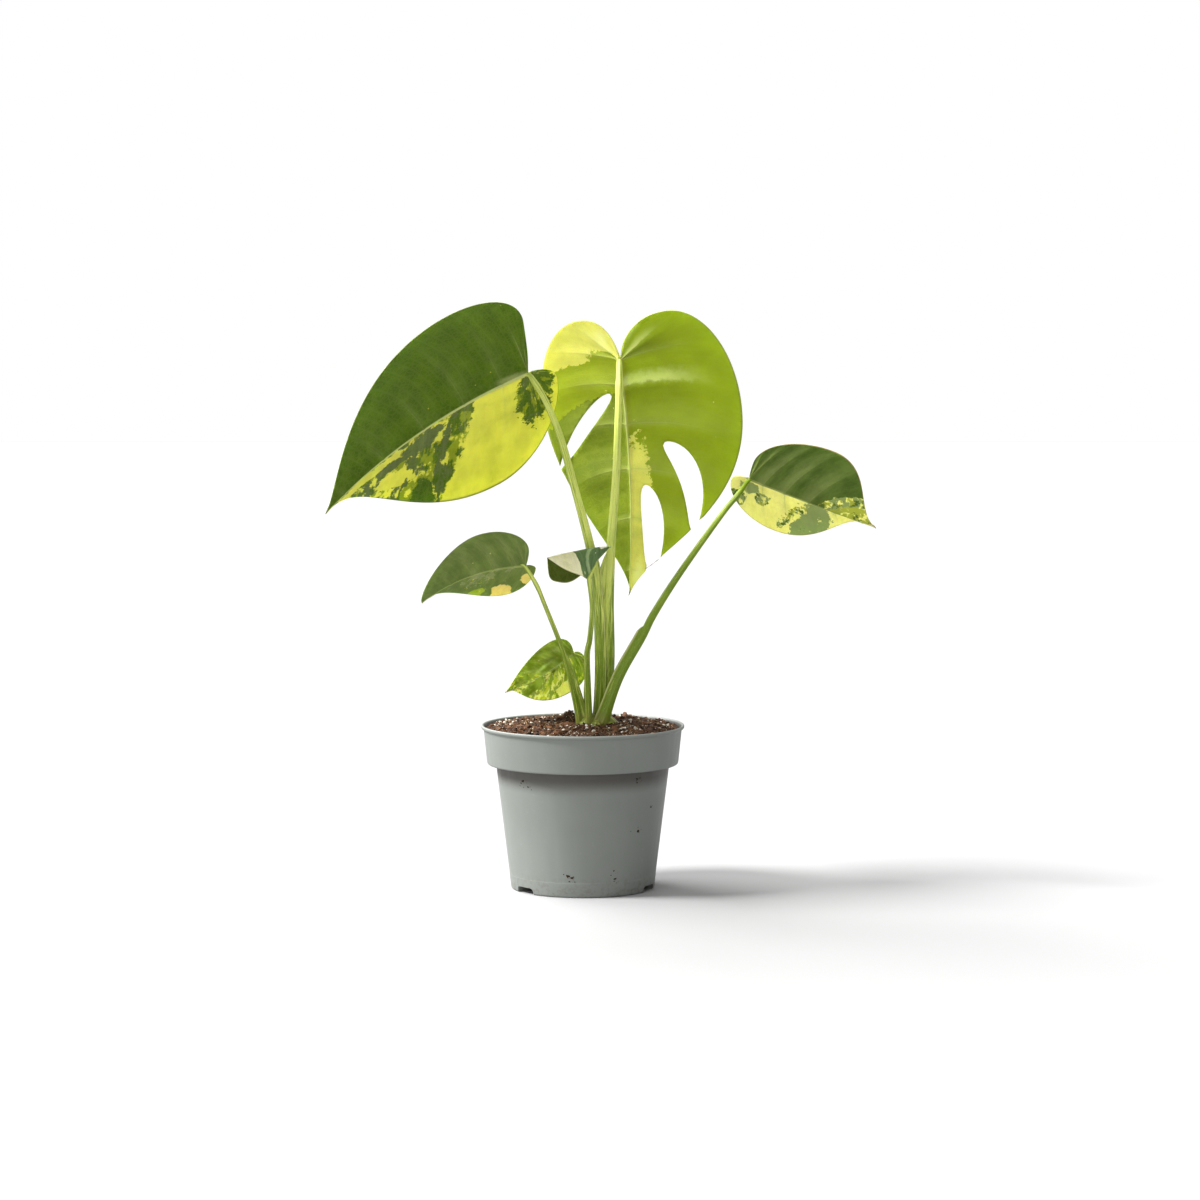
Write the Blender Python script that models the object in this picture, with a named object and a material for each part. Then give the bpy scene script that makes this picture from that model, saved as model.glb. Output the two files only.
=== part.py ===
"""A potted variegated monstera: a round nursery pot, the soil in it, the short crown of the plant, and six
leaves, each a stalk with a heart-shaped blade. The second blade is slotted, and the fifth is small and
still curled.

Metres, +Z up. The origin is the centre of the pot's underside. The front faces -Y, and from there most of the
blades show their undersides, because the plant has turned its leaves to a light behind it.
"""

import math
from collections import namedtuple

import bmesh
import bpy
import numpy as np
from mathutils import Matrix, Vector, geometry

MM = 0.001
# Left between pieces that touch.
GAP = 0.0003

# The pot, a moulded 12 cm nursery pot.
POT_HEIGHT = 0.0968
LIP_RADIUS = 0.0600
LIP_HEIGHT = 0.0018
COLLAR_TOP_RADIUS = 0.0585
COLLAR_LOW_RADIUS = 0.0564
COLLAR_HEIGHT = 0.0230
BODY_TOP_RADIUS = 0.0512
BASE_RADIUS = 0.0423
POT_WALL = 0.0014
POT_FLOOR = 0.0020
POT_SIDES = 48
# Three channels run from near the middle of the underside out through the foot, each over a drain hole.
CHANNEL_ANGLES = (-143.0, -23.0, 97.0)
CHANNEL_WIDTH = 0.0150
CHANNEL_HEIGHT = 0.0038
CHANNEL_START = 0.0150
DRAIN_RADIUS = 0.0035
DRAIN_AT = 0.0270

# The soil, heaped towards the crown of the plant.
SOIL_EDGE_HEIGHT = 0.0938
SOIL_RISE = 0.0058
SOIL_CLODS = (
    # x, y, height and radius of each clod, in millimetres.
    (-8, 15, 6.0, 6),
    (-21, 19, 3.2, 8),
    (26, 19, 3.6, 8),
    (38, 26, 3.0, 7),
    (10, 28, 3.0, 9),
    (-36, 10, 2.0, 8),
    (-28, -16, 1.8, 9),
    (27, -17, 1.6, 8),
    (2, -30, 1.8, 9),
)

# The crown, which the stalks stand on.
CROWN_CENTRE = Vector((0.0086, 0.0002, 0.0))
CROWN_HALF_WIDTH = 0.0140
CROWN_HALF_DEPTH = 0.0105
CROWN_TOP = 0.0995
CROWN_BOTTOM = 0.0860

# The leaves.
BLADE_THICKNESS = 0.0008
STALK_SIDES = 12
DARK_GREEN = (0.13, 0.22, 0.03)
LIGHT_GREEN = (0.28, 0.38, 0.05)
STALK_COLOUR = (0.30, 0.42, 0.09)

# One side of a blade, seen flat. Its edge runs from the joint back round the lobe, out to the widest place
# and on to the tip. Lengths are in millimetres: lobe_back and lobe_out place the rearmost point of the lobe,
# wide_at and wide the widest place. fullness carries the edge on past the widest place, and tip_reach and
# tip_width draw out the tip. fold lifts the side from the midrib and curl bends it from there to its edge,
# in degrees.
Side = namedtuple("Side", "lobe_back lobe_out wide_at wide fullness tip_reach tip_width fold curl")

# A slot between two ribs: the inner end, a point half way and the mouth on the edge, as (along, out) in
# millimetres, the half width in its middle and the half width at its mouth.
Slot = namedtuple("Slot", "side inner middle mouth half_width half_mouth")

# The thin edge of the sheath at a stalk's foot: the way that it stands out, its width in millimetres and the
# share of the stalk that it covers.
Wing = namedtuple("Wing", "direction width reach")


def clear_scene():
    for obj in list(bpy.data.objects):
        bpy.data.objects.remove(obj, do_unlink=True)


def material(name, colour, roughness):
    made = bpy.data.materials.new(name)
    made.use_nodes = True
    surface = made.node_tree.nodes["Principled BSDF"]
    surface.inputs["Base Color"].default_value = (*colour, 1.0)
    surface.inputs["Roughness"].default_value = roughness
    surface.inputs["Metallic"].default_value = 0.0
    return made


def add_object(name, bm, colour, roughness, matrix=None):
    mesh = bpy.data.meshes.new(name)
    bm.to_mesh(mesh)
    bm.free()
    mesh.shade_smooth()
    mesh.set_sharp_from_angle(angle=math.radians(40))
    mesh.materials.append(material(name, colour, roughness))
    obj = bpy.data.objects.new(name, mesh)
    bpy.context.scene.collection.objects.link(obj)
    if matrix is not None:
        obj.matrix_world = matrix
    return obj


def add_cutter(name, bm):
    obj = add_object(name, bm, (0.8, 0.2, 0.2), 0.5)
    obj.hide_render = True
    obj.display_type = "WIRE"
    return obj


def cut(obj, cutter):
    boolean = obj.modifiers.new(cutter.name, "BOOLEAN")
    boolean.operation = "DIFFERENCE"
    boolean.object = cutter
    return boolean


def turned(profile, sides):
    """A solid of revolution about Z. The profile runs from the axis, up the outside and back to the axis."""
    bm = bmesh.new()
    points = [bm.verts.new((radius, 0.0, height)) for radius, height in profile]
    edges = [bm.edges.new(pair) for pair in zip(points, points[1:])]
    bmesh.ops.spin(
        bm, geom=points + edges, axis=(0, 0, 1), cent=(0, 0, 0), angle=math.tau, steps=sides, use_merge=True
    )
    bmesh.ops.remove_doubles(bm, verts=bm.verts, dist=1e-6)
    bmesh.ops.recalc_face_normals(bm, faces=bm.faces)
    return bm


def channel_block(name, angle, margin, height):
    """A straight block over one channel of the pot's underside, from near the middle out through the foot."""
    length = LIP_RADIUS - CHANNEL_START + margin
    bm = bmesh.new()
    bmesh.ops.create_cube(bm, size=1.0)
    size = (length, CHANNEL_WIDTH + 2 * margin, 2 * height)
    bmesh.ops.scale(bm, vec=size, verts=bm.verts)
    bmesh.ops.translate(bm, vec=(CHANNEL_START - margin + length / 2, 0, 0), verts=bm.verts)
    upper = [
        edge
        for edge in bm.edges
        if all(vert.co.z > 0 for vert in edge.verts)
        and abs(edge.verts[0].co.y - edge.verts[1].co.y) < 1e-6
    ]
    bmesh.ops.bevel(bm, geom=upper, offset=0.6 * height, segments=2, affect="EDGES", clamp_overlap=True)
    bmesh.ops.rotate(bm, matrix=Matrix.Rotation(math.radians(angle), 3, "Z"), verts=bm.verts)
    return add_cutter(name, bm)


def inner_profile(inset, floor, top):
    """The pot's inside, from the axis at the floor, up the wall and back to the axis at the top."""
    collar_foot = POT_HEIGHT - COLLAR_HEIGHT
    wall = POT_WALL + inset
    slope = (COLLAR_TOP_RADIUS - COLLAR_LOW_RADIUS) / COLLAR_HEIGHT
    return (
        (0.0, floor),
        (BASE_RADIUS - wall - 0.0012, floor),
        (BASE_RADIUS - wall + 0.0004, floor + 0.0018),
        (BODY_TOP_RADIUS - wall, collar_foot + inset),
        (BODY_TOP_RADIUS - wall + 0.0008, collar_foot + POT_WALL + inset),
        (COLLAR_LOW_RADIUS - wall - 0.0006, collar_foot + POT_WALL + inset),
        (COLLAR_LOW_RADIUS - wall, collar_foot + POT_WALL + inset + 0.0008),
        (COLLAR_TOP_RADIUS - wall + slope * (top - POT_HEIGHT), top),
        (0.0, top),
    )


def make_pot():
    collar_foot = POT_HEIGHT - COLLAR_HEIGHT
    lip_foot = POT_HEIGHT - LIP_HEIGHT
    outside = (
        (0.0, 0.0),
        (BASE_RADIUS - 0.0016, 0.0),
        (BASE_RADIUS - 0.0004, 0.0005),
        (BASE_RADIUS + 0.0001, 0.0018),
        (BODY_TOP_RADIUS, collar_foot),
        (COLLAR_LOW_RADIUS - 0.0013, collar_foot),
        (COLLAR_LOW_RADIUS - 0.0003, collar_foot + 0.0005),
        (COLLAR_LOW_RADIUS, collar_foot + 0.0016),
        (COLLAR_TOP_RADIUS, lip_foot - 0.0010),
        (LIP_RADIUS - 0.0005, lip_foot - 0.0002),
        (LIP_RADIUS, lip_foot + 0.0006),
        (LIP_RADIUS - 0.0002, POT_HEIGHT - 0.0003),
        (LIP_RADIUS - 0.0008, POT_HEIGHT),
        (0.0, POT_HEIGHT),
    )
    pot = add_object("pot", turned(outside, POT_SIDES), (0.36, 0.39, 0.34), 0.5)
    hollow = turned(inner_profile(0.0, POT_FLOOR, POT_HEIGHT + 0.01), POT_SIDES)
    inside = add_cutter("pot_hollow", hollow)
    for index, angle in enumerate(CHANNEL_ANGLES):
        cut(inside, channel_block(f"channel_roof_{index}", angle, POT_WALL, CHANNEL_HEIGHT + POT_FLOOR))
    cut(pot, inside)
    for index, angle in enumerate(CHANNEL_ANGLES):
        cut(pot, channel_block(f"channel_{index}", angle, 0.0, CHANNEL_HEIGHT))
        turn = Matrix.Rotation(math.radians(angle), 4, "Z")
        bm = bmesh.new()
        bmesh.ops.create_cone(
            bm, cap_ends=True, segments=12, radius1=DRAIN_RADIUS, radius2=DRAIN_RADIUS, depth=0.012
        )
        bmesh.ops.translate(bm, vec=(DRAIN_AT, 0, CHANNEL_HEIGHT), verts=bm.verts)
        bmesh.ops.transform(bm, matrix=turn, verts=bm.verts)
        cut(pot, add_cutter(f"drain_{index}", bm))
    return pot


def crown_prism(margin, bottom, top, sides):
    bm = bmesh.new()
    bmesh.ops.create_cone(bm, cap_ends=True, segments=sides, radius1=1.0, radius2=1.0, depth=top - bottom)
    size = (CROWN_HALF_WIDTH + margin, CROWN_HALF_DEPTH + margin, 1.0)
    bmesh.ops.scale(bm, vec=size, verts=bm.verts)
    bmesh.ops.translate(bm, vec=CROWN_CENTRE + Vector((0, 0, (top + bottom) / 2)), verts=bm.verts)
    return bm


def soil_height(x, y):
    """The heaped top of the soil: a low dome with round clods on it."""
    reach = COLLAR_TOP_RADIUS
    away = np.clip((x**2 + y**2) / reach**2, 0, 1)
    height = SOIL_EDGE_HEIGHT + SOIL_RISE * (1 - away) ** 0.7
    for clod_x, clod_y, rise, radius in SOIL_CLODS:
        apart = ((x - clod_x * MM) ** 2 + (y - clod_y * MM) ** 2) / (radius * MM) ** 2
        height = height + rise * MM * np.exp(-apart)
    return height


def make_soil():
    """The soil takes the pot's inside less a thin gap, and its top is a disc of rings raised by soil_height."""
    top = SOIL_EDGE_HEIGHT
    profile = list(inner_profile(GAP, POT_FLOOR + GAP, top))[:-1]
    edge_radius = profile[-1][0]
    rings = 9
    profile += [(edge_radius * (1 - ring / rings), top) for ring in range(1, rings + 1)]
    bm = turned(profile, POT_SIDES)
    for vert in bm.verts:
        if abs(vert.co.z - top) < 1e-6 and vert.co.xy.length < edge_radius - 0.001:
            vert.co.z = float(soil_height(vert.co.x, vert.co.y))
    bmesh.ops.triangulate(bm, faces=bm.faces)
    soil = add_object("soil", bm, (0.07, 0.04, 0.03), 0.95)
    for index, angle in enumerate(CHANNEL_ANGLES):
        block = channel_block(f"soil_channel_{index}", angle, POT_WALL + GAP, CHANNEL_HEIGHT + POT_FLOOR + GAP)
        cut(soil, block)
    hole = crown_prism(GAP, CROWN_BOTTOM - GAP, POT_HEIGHT + 0.02, 24)
    cut(soil, add_cutter("crown_hole", hole))
    return soil


def make_crown():
    bm = crown_prism(0.0, CROWN_BOTTOM, CROWN_TOP, 24)
    rims = [edge for edge in bm.edges if abs(edge.verts[0].co.z - edge.verts[1].co.z) < 1e-6]
    bmesh.ops.bevel(bm, geom=rims, offset=0.0012, segments=2, affect="EDGES", clamp_overlap=True)
    return add_object("crown", bm, (0.20, 0.24, 0.06), 0.6)


def through(points, count):
    """A smooth curve through the points, a Catmull-Rom spline, as count points evenly spread over its spans."""
    points = np.array(points, float)
    ends = np.vstack([2 * points[0] - points[1], points, 2 * points[-1] - points[-2]])
    place = np.linspace(0, len(points) - 1, count)
    span = np.minimum(place.astype(int), len(points) - 2)
    t = (place - span)[:, None]
    p0, p1, p2, p3 = (ends[span + k] for k in range(4))
    square = 2 * p0 - 5 * p1 + 4 * p2 - p3
    cube = 3 * p1 - p0 - 3 * p2 + p3
    return 0.5 * (2 * p1 + (p2 - p0) * t + square * t**2 + cube * t**3)


def stalk(name, points, radii, colour, seat_normal, wing=None):
    """A round leaf stalk along a smooth curve, its foot cut level on the crown and its top cut to meet the
    blade. points and radii, which are spread evenly along the stalk, are in millimetres."""
    rings = 2 + 3 * (len(points) - 1)
    centres = through(points, rings) * MM
    share = np.linspace(0, 1, rings)
    radius = np.interp(share, np.linspace(0, 1, len(radii)), radii) * MM
    ahead = np.gradient(centres, axis=0)
    ahead /= np.linalg.norm(ahead, axis=1)[:, None]
    level = CROWN_TOP + GAP
    seat = Vector(centres[-1])
    turns = np.linspace(0, math.tau, STALK_SIDES, endpoint=False)
    bm = bmesh.new()
    loops = []
    for index, (centre, forward) in enumerate(zip(centres, ahead)):
        forward = Vector(forward)
        side = forward.cross(Vector((0, 1, 0))).normalized()
        back = side.cross(forward).normalized()
        loop = []
        for turn in turns:
            out = side * math.cos(turn) + back * math.sin(turn)
            point = Vector(centre) + out * radius[index]
            if wing is not None:
                stands = max(0.0, out.dot(Vector(wing.direction).normalized())) ** 4
                rise = min(1.0, max(0.0, (wing.reach - share[index]) / (0.25 * wing.reach)))
                point += out * stands * wing.width * MM * rise
            if index == 0:
                point += forward * ((level - point.z) / forward.z)
            if index == rings - 1:
                point += forward * ((seat - point).dot(seat_normal) / forward.dot(seat_normal))
            loop.append(bm.verts.new(point))
        loops.append(loop)
    for lower, upper in zip(loops, loops[1:]):
        for k in range(STALK_SIDES):
            after = (k + 1) % STALK_SIDES
            bm.faces.new((lower[k], lower[after], upper[after], upper[k]))
    bm.faces.new(loops[0])
    bm.faces.new(loops[-1])
    bmesh.ops.recalc_face_normals(bm, faces=bm.faces)
    bmesh.ops.triangulate(bm, faces=bm.faces)
    return add_object(name, bm, colour, 0.45)


def cubic(start, first, second, end, count):
    t = np.linspace(0, 1, count, endpoint=False)[:, None]
    return (1 - t) ** 3 * start + 3 * (1 - t) ** 2 * t * first + 3 * (1 - t) * t**2 * second + t**3 * end


def side_edge(side, length, spacing):
    """The edge of one side as (along, out) points from the joint to just before the tip: three cubic arcs."""
    back, out = -side.lobe_back, side.lobe_out
    widest, wide = side.wide_at, side.wide
    arcs = (
        ((0, 0), (0.55 * back, 0.08 * out), (back, 0.4 * out), (back, out)),
        (
            (back, out),
            (back, out + 0.55 * (wide - out)),
            (widest - 0.55 * (widest - back), wide),
            (widest, wide),
        ),
        (
            (widest, wide),
            (widest + side.fullness * (length - widest), wide),
            (length - side.tip_reach, side.tip_width),
            (length, 0),
        ),
    )
    found = []
    for arc in arcs:
        start, first, second, end = (np.array(point, float) for point in arc)
        reach = np.linalg.norm(end - start) * 1.1
        found.append(cubic(start, first, second, end, max(3, round(reach / spacing))))
    return np.vstack(found)


def slot_edge(slot, spacing):
    """The outline of a slot: round at its inner end, wider in its middle and narrow at its mouth."""
    inner, middle, mouth = (np.array(place, float) for place in (slot.inner, slot.middle, slot.mouth))
    handle = 2 * middle - (inner + mouth) / 2
    count = max(6, round(np.linalg.norm(mouth - inner) / spacing))
    t = np.linspace(0, 1.08, count)[:, None]
    centre = (1 - t) ** 2 * inner + 2 * (1 - t) * t * handle + t**2 * mouth
    ahead = np.gradient(centre, axis=0)
    ahead /= np.linalg.norm(ahead, axis=1)[:, None]
    across = np.stack([-ahead[:, 1], ahead[:, 0]], -1)
    swell = np.sin(math.pi * np.clip(t, 0, 1) ** 0.8) ** 0.6
    half = slot.half_width * swell + slot.half_mouth * t
    one_bank = (centre + across * half)[1:]
    other_bank = (centre - across * half)[:0:-1]
    outline = np.vstack([one_bank, other_bank, centre[:1]])
    outline[:, 1] *= slot.side
    return outline


def inside(points, outline):
    """For each point, whether it lies inside the closed outline, by counting the edges that a ray crosses."""
    x, y = points[:, 0][:, None], points[:, 1][:, None]
    x0, y0 = outline[:, 0][None], outline[:, 1][None]
    x1, y1 = np.roll(outline[:, 0], -1)[None], np.roll(outline[:, 1], -1)[None]
    spans = (y0 > y) != (y1 > y)
    with np.errstate(divide="ignore", invalid="ignore"):
        cross = x < (x1 - x0) * (y - y0) / (y1 - y0) + x0
    return (spans & cross).sum(axis=1) % 2 == 1


def distance_to(points, outline):
    """For each point, its distance to the nearest segment of the closed outline."""
    start = outline[None]
    along = np.roll(outline, -1, axis=0)[None] - start
    apart = points[:, None] - start
    share = np.clip((apart * along).sum(-1) / np.maximum((along**2).sum(-1), 1e-12), 0, 1)
    return np.linalg.norm(apart - share[..., None] * along, axis=-1).min(axis=1)


def flat_blade(length, left, right, slots, spacing, rib):
    """The blade laid flat, as points in millimetres and triangles: the edge, the slots and the midrib are kept
    as edges of the triangles, and a grid of points spaced evenly fills the rest."""
    left_edge = side_edge(left, length, spacing)
    right_edge = side_edge(right, length, spacing) * (1, -1)
    outline = np.vstack([left_edge, [(length, 0.0)], right_edge[:0:-1]])
    holes = [slot_edge(slot, 0.6 * spacing) for slot in slots]
    along = np.linspace(0, length, max(4, round(length / spacing)) + 1)[1:-1]
    midrib = np.stack([along, 0 * along], -1)
    taper = rib * (1 - 0.75 * along / length)
    flanks = [np.stack([along, way * taper], -1) for way in (1, -1)]
    lines = [np.vstack([[(0.0, 0.0)], midrib, [(length, 0.0)]]), *flanks]
    loops = [outline, *holes]
    across = np.arange(-2 * length, 2 * length, spacing)
    rows = np.arange(-2 * length, 2 * length, spacing * math.sqrt(3) / 2)
    grid = np.stack(np.meshgrid(across, rows), -1)
    grid[1::2, :, 0] += spacing / 2
    grid = grid.reshape(-1, 2)
    grid = grid[inside(grid, outline)]
    for loop in loops:
        grid = grid[distance_to(grid, loop) > 0.5 * spacing]
    for hole in holes:
        grid = grid[~inside(grid, hole)]
    grid = grid[np.abs(grid[:, 1]) > rib + 0.4 * spacing]
    points = []
    edges = []
    for loop in loops:
        first = len(points)
        points += [tuple(point) for point in loop]
        edges += [(first + k, first + (k + 1) % len(loop)) for k in range(len(loop))]
    for line in lines:
        first = len(points)
        points += [tuple(point) for point in line]
        edges += [(first + k, first + k + 1) for k in range(len(line) - 1)]
    points += [tuple(point) for point in grid]
    found = geometry.delaunay_2d_cdt([Vector(point) for point in points], edges, [], 0, 1e-4)
    corners = np.array([tuple(point) for point in found[0]])
    faces = np.array([face for face in found[2]])
    middles = corners[faces].mean(axis=1)
    kept = inside(middles, outline)
    for hole in holes:
        kept &= ~inside(middles, hole)
    return corners, faces[kept]


def along_arc(distance, start, bend):
    """The place reached after a distance along an arc that sets off at an angle and bends at a steady rate."""
    bend = np.where(np.abs(bend) < 1e-9, 1e-9, bend)
    turned_to = start + bend * distance
    return (np.sin(turned_to) - math.sin(start)) / bend, (math.cos(start) - np.cos(turned_to)) / bend


def raise_blade(flat, length, arch, left, right):
    """Puts flat points into space: the midrib arches over, and each side folds up from it and curls to its
    edge."""
    along, out = flat[:, 0], flat[:, 1]
    start = math.radians(arch) / 2
    bend = -math.radians(arch) / length
    x, z = along_arc(along, start, bend)
    lean = start + bend * along
    placed = np.zeros((len(flat), 3))
    for side, way in ((left, 1), (right, -1)):
        here = out * way >= 0
        reach = np.abs(out[here])
        across, up = along_arc(reach, math.radians(side.fold), math.radians(side.curl) / side.wide)
        placed[here, 0] = x[here] - np.sin(lean[here]) * up
        placed[here, 1] = across * way
        placed[here, 2] = z[here] + np.cos(lean[here]) * up
    return placed


def blade_axes(heading, droop, roll):
    """The blade's own axes: along it, across it to its left, and out of its upper face."""
    heading, droop, roll = (math.radians(angle) for angle in (heading, droop, roll))
    on = Vector((math.cos(droop) * math.cos(heading), math.cos(droop) * math.sin(heading), math.sin(droop)))
    across = Vector((0, 0, 1)).cross(on).normalized()
    up = on.cross(across)
    return on, across * math.cos(roll) + up * math.sin(roll), up * math.cos(roll) - across * math.sin(roll)


def thicken(obj, depths, rib_depth):
    """Solidify gives the sheet its thickness below its upper face, and a group makes it deeper along the
    midrib."""
    group = obj.vertex_groups.new(name="depth")
    for index, depth in enumerate(depths):
        group.add([index], float(depth / rib_depth), "REPLACE")
    solidify = obj.modifiers.new("thickness", "SOLIDIFY")
    solidify.thickness = rib_depth
    solidify.offset = -1.0
    solidify.vertex_group = group.name


def blade(name, joint, pose, length, arch, left, right, look, slots):
    """A heart-shaped blade with its joint at the object's origin. Lengths are in millimetres."""
    spacing, rib, rib_depth, colour = look
    flat, faces = flat_blade(length, left, right, slots, spacing, rib)
    placed = raise_blade(flat, length, arch, left, right) * MM
    bm = bmesh.new()
    verts = [bm.verts.new(point) for point in placed]
    for face in faces:
        bm.faces.new([verts[k] for k in face])
    bmesh.ops.recalc_face_normals(bm, faces=bm.faces)
    bm.normal_update()
    if sum(face.normal.z * face.calc_area() for face in bm.faces) < 0:
        bmesh.ops.reverse_faces(bm, faces=bm.faces)
    axes = Matrix(blade_axes(*pose)).transposed().to_4x4()
    matrix = Matrix.Translation(Vector(joint) * MM) @ axes
    obj = add_object(name, bm, colour, 0.4, matrix)
    on_rib = (np.abs(flat[:, 1]) < 1e-3) & (flat[:, 0] < length)
    tapering = rib_depth - (rib_depth - BLADE_THICKNESS) * flat[:, 0] / length
    thicken(obj, np.where(on_rib, tapering, BLADE_THICKNESS), rib_depth)
    return obj


def curled_blade(name, near, crest, far, colour, spans, steps):
    """The small curled blade, a sheet laid over three curves in millimetres: its near edge, the crest that it
    bends over and its far edge. All three meet at both ends, its lobe and its tip."""
    t = np.linspace(0, 1, steps)[None, :, None]
    near, crest, far = (through(points, spans)[:, None] * MM for points in (near, crest, far))
    handle = 2 * crest - (near + far) / 2
    sheet = (1 - t) ** 2 * near + 2 * (1 - t) * t * handle + t**2 * far
    bm = bmesh.new()
    verts = [[bm.verts.new(point) for point in row] for row in sheet]
    for row, following in zip(verts, verts[1:]):
        for k in range(steps - 1):
            bm.faces.new((row[k], row[k + 1], following[k + 1], following[k]))
    bmesh.ops.remove_doubles(bm, verts=bm.verts, dist=2e-5)
    bmesh.ops.triangulate(bm, faces=bm.faces)
    bmesh.ops.recalc_face_normals(bm, faces=bm.faces)
    bm.normal_update()
    if sum(face.normal.z * face.calc_area() for face in bm.faces) < 0:
        bmesh.ops.reverse_faces(bm, faces=bm.faces)
    count = len(bm.verts)
    obj = add_object(name, bm, colour, 0.4)
    thicken(obj, np.full(count, BLADE_THICKNESS * 0.9), BLADE_THICKNESS)
    return obj


def make_leaf(number, joint, pose, length, arch, left, right, look, path, radii, slots=(), wing=None):
    """A leaf: its blade, and the stalk that ends a small gap under the thick start of the midrib.

    pose is the way the blade heads, how far it rises and how far it rolls, in degrees. look holds the spacing
    of its points, the half width of its midrib, the depth of its midrib in metres, and its colour. path is the
    stalk's, from the crown up.
    """
    blade(f"leaf{number}_blade", joint, pose, length, arch, left, right, look, slots)
    on, across, up = blade_axes(*pose)
    start = math.radians(arch) / 2
    along = on * math.cos(start) + up * math.sin(start)
    out = up * math.cos(start) - on * math.sin(start)
    rib_depth = look[2]
    seat = Vector(joint) + along * 1.2 - out * (rib_depth / MM + GAP / MM + 0.1)
    stalk(f"leaf{number}_stalk", [*path, tuple(seat)], radii, STALK_COLOUR, out, wing)


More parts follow.
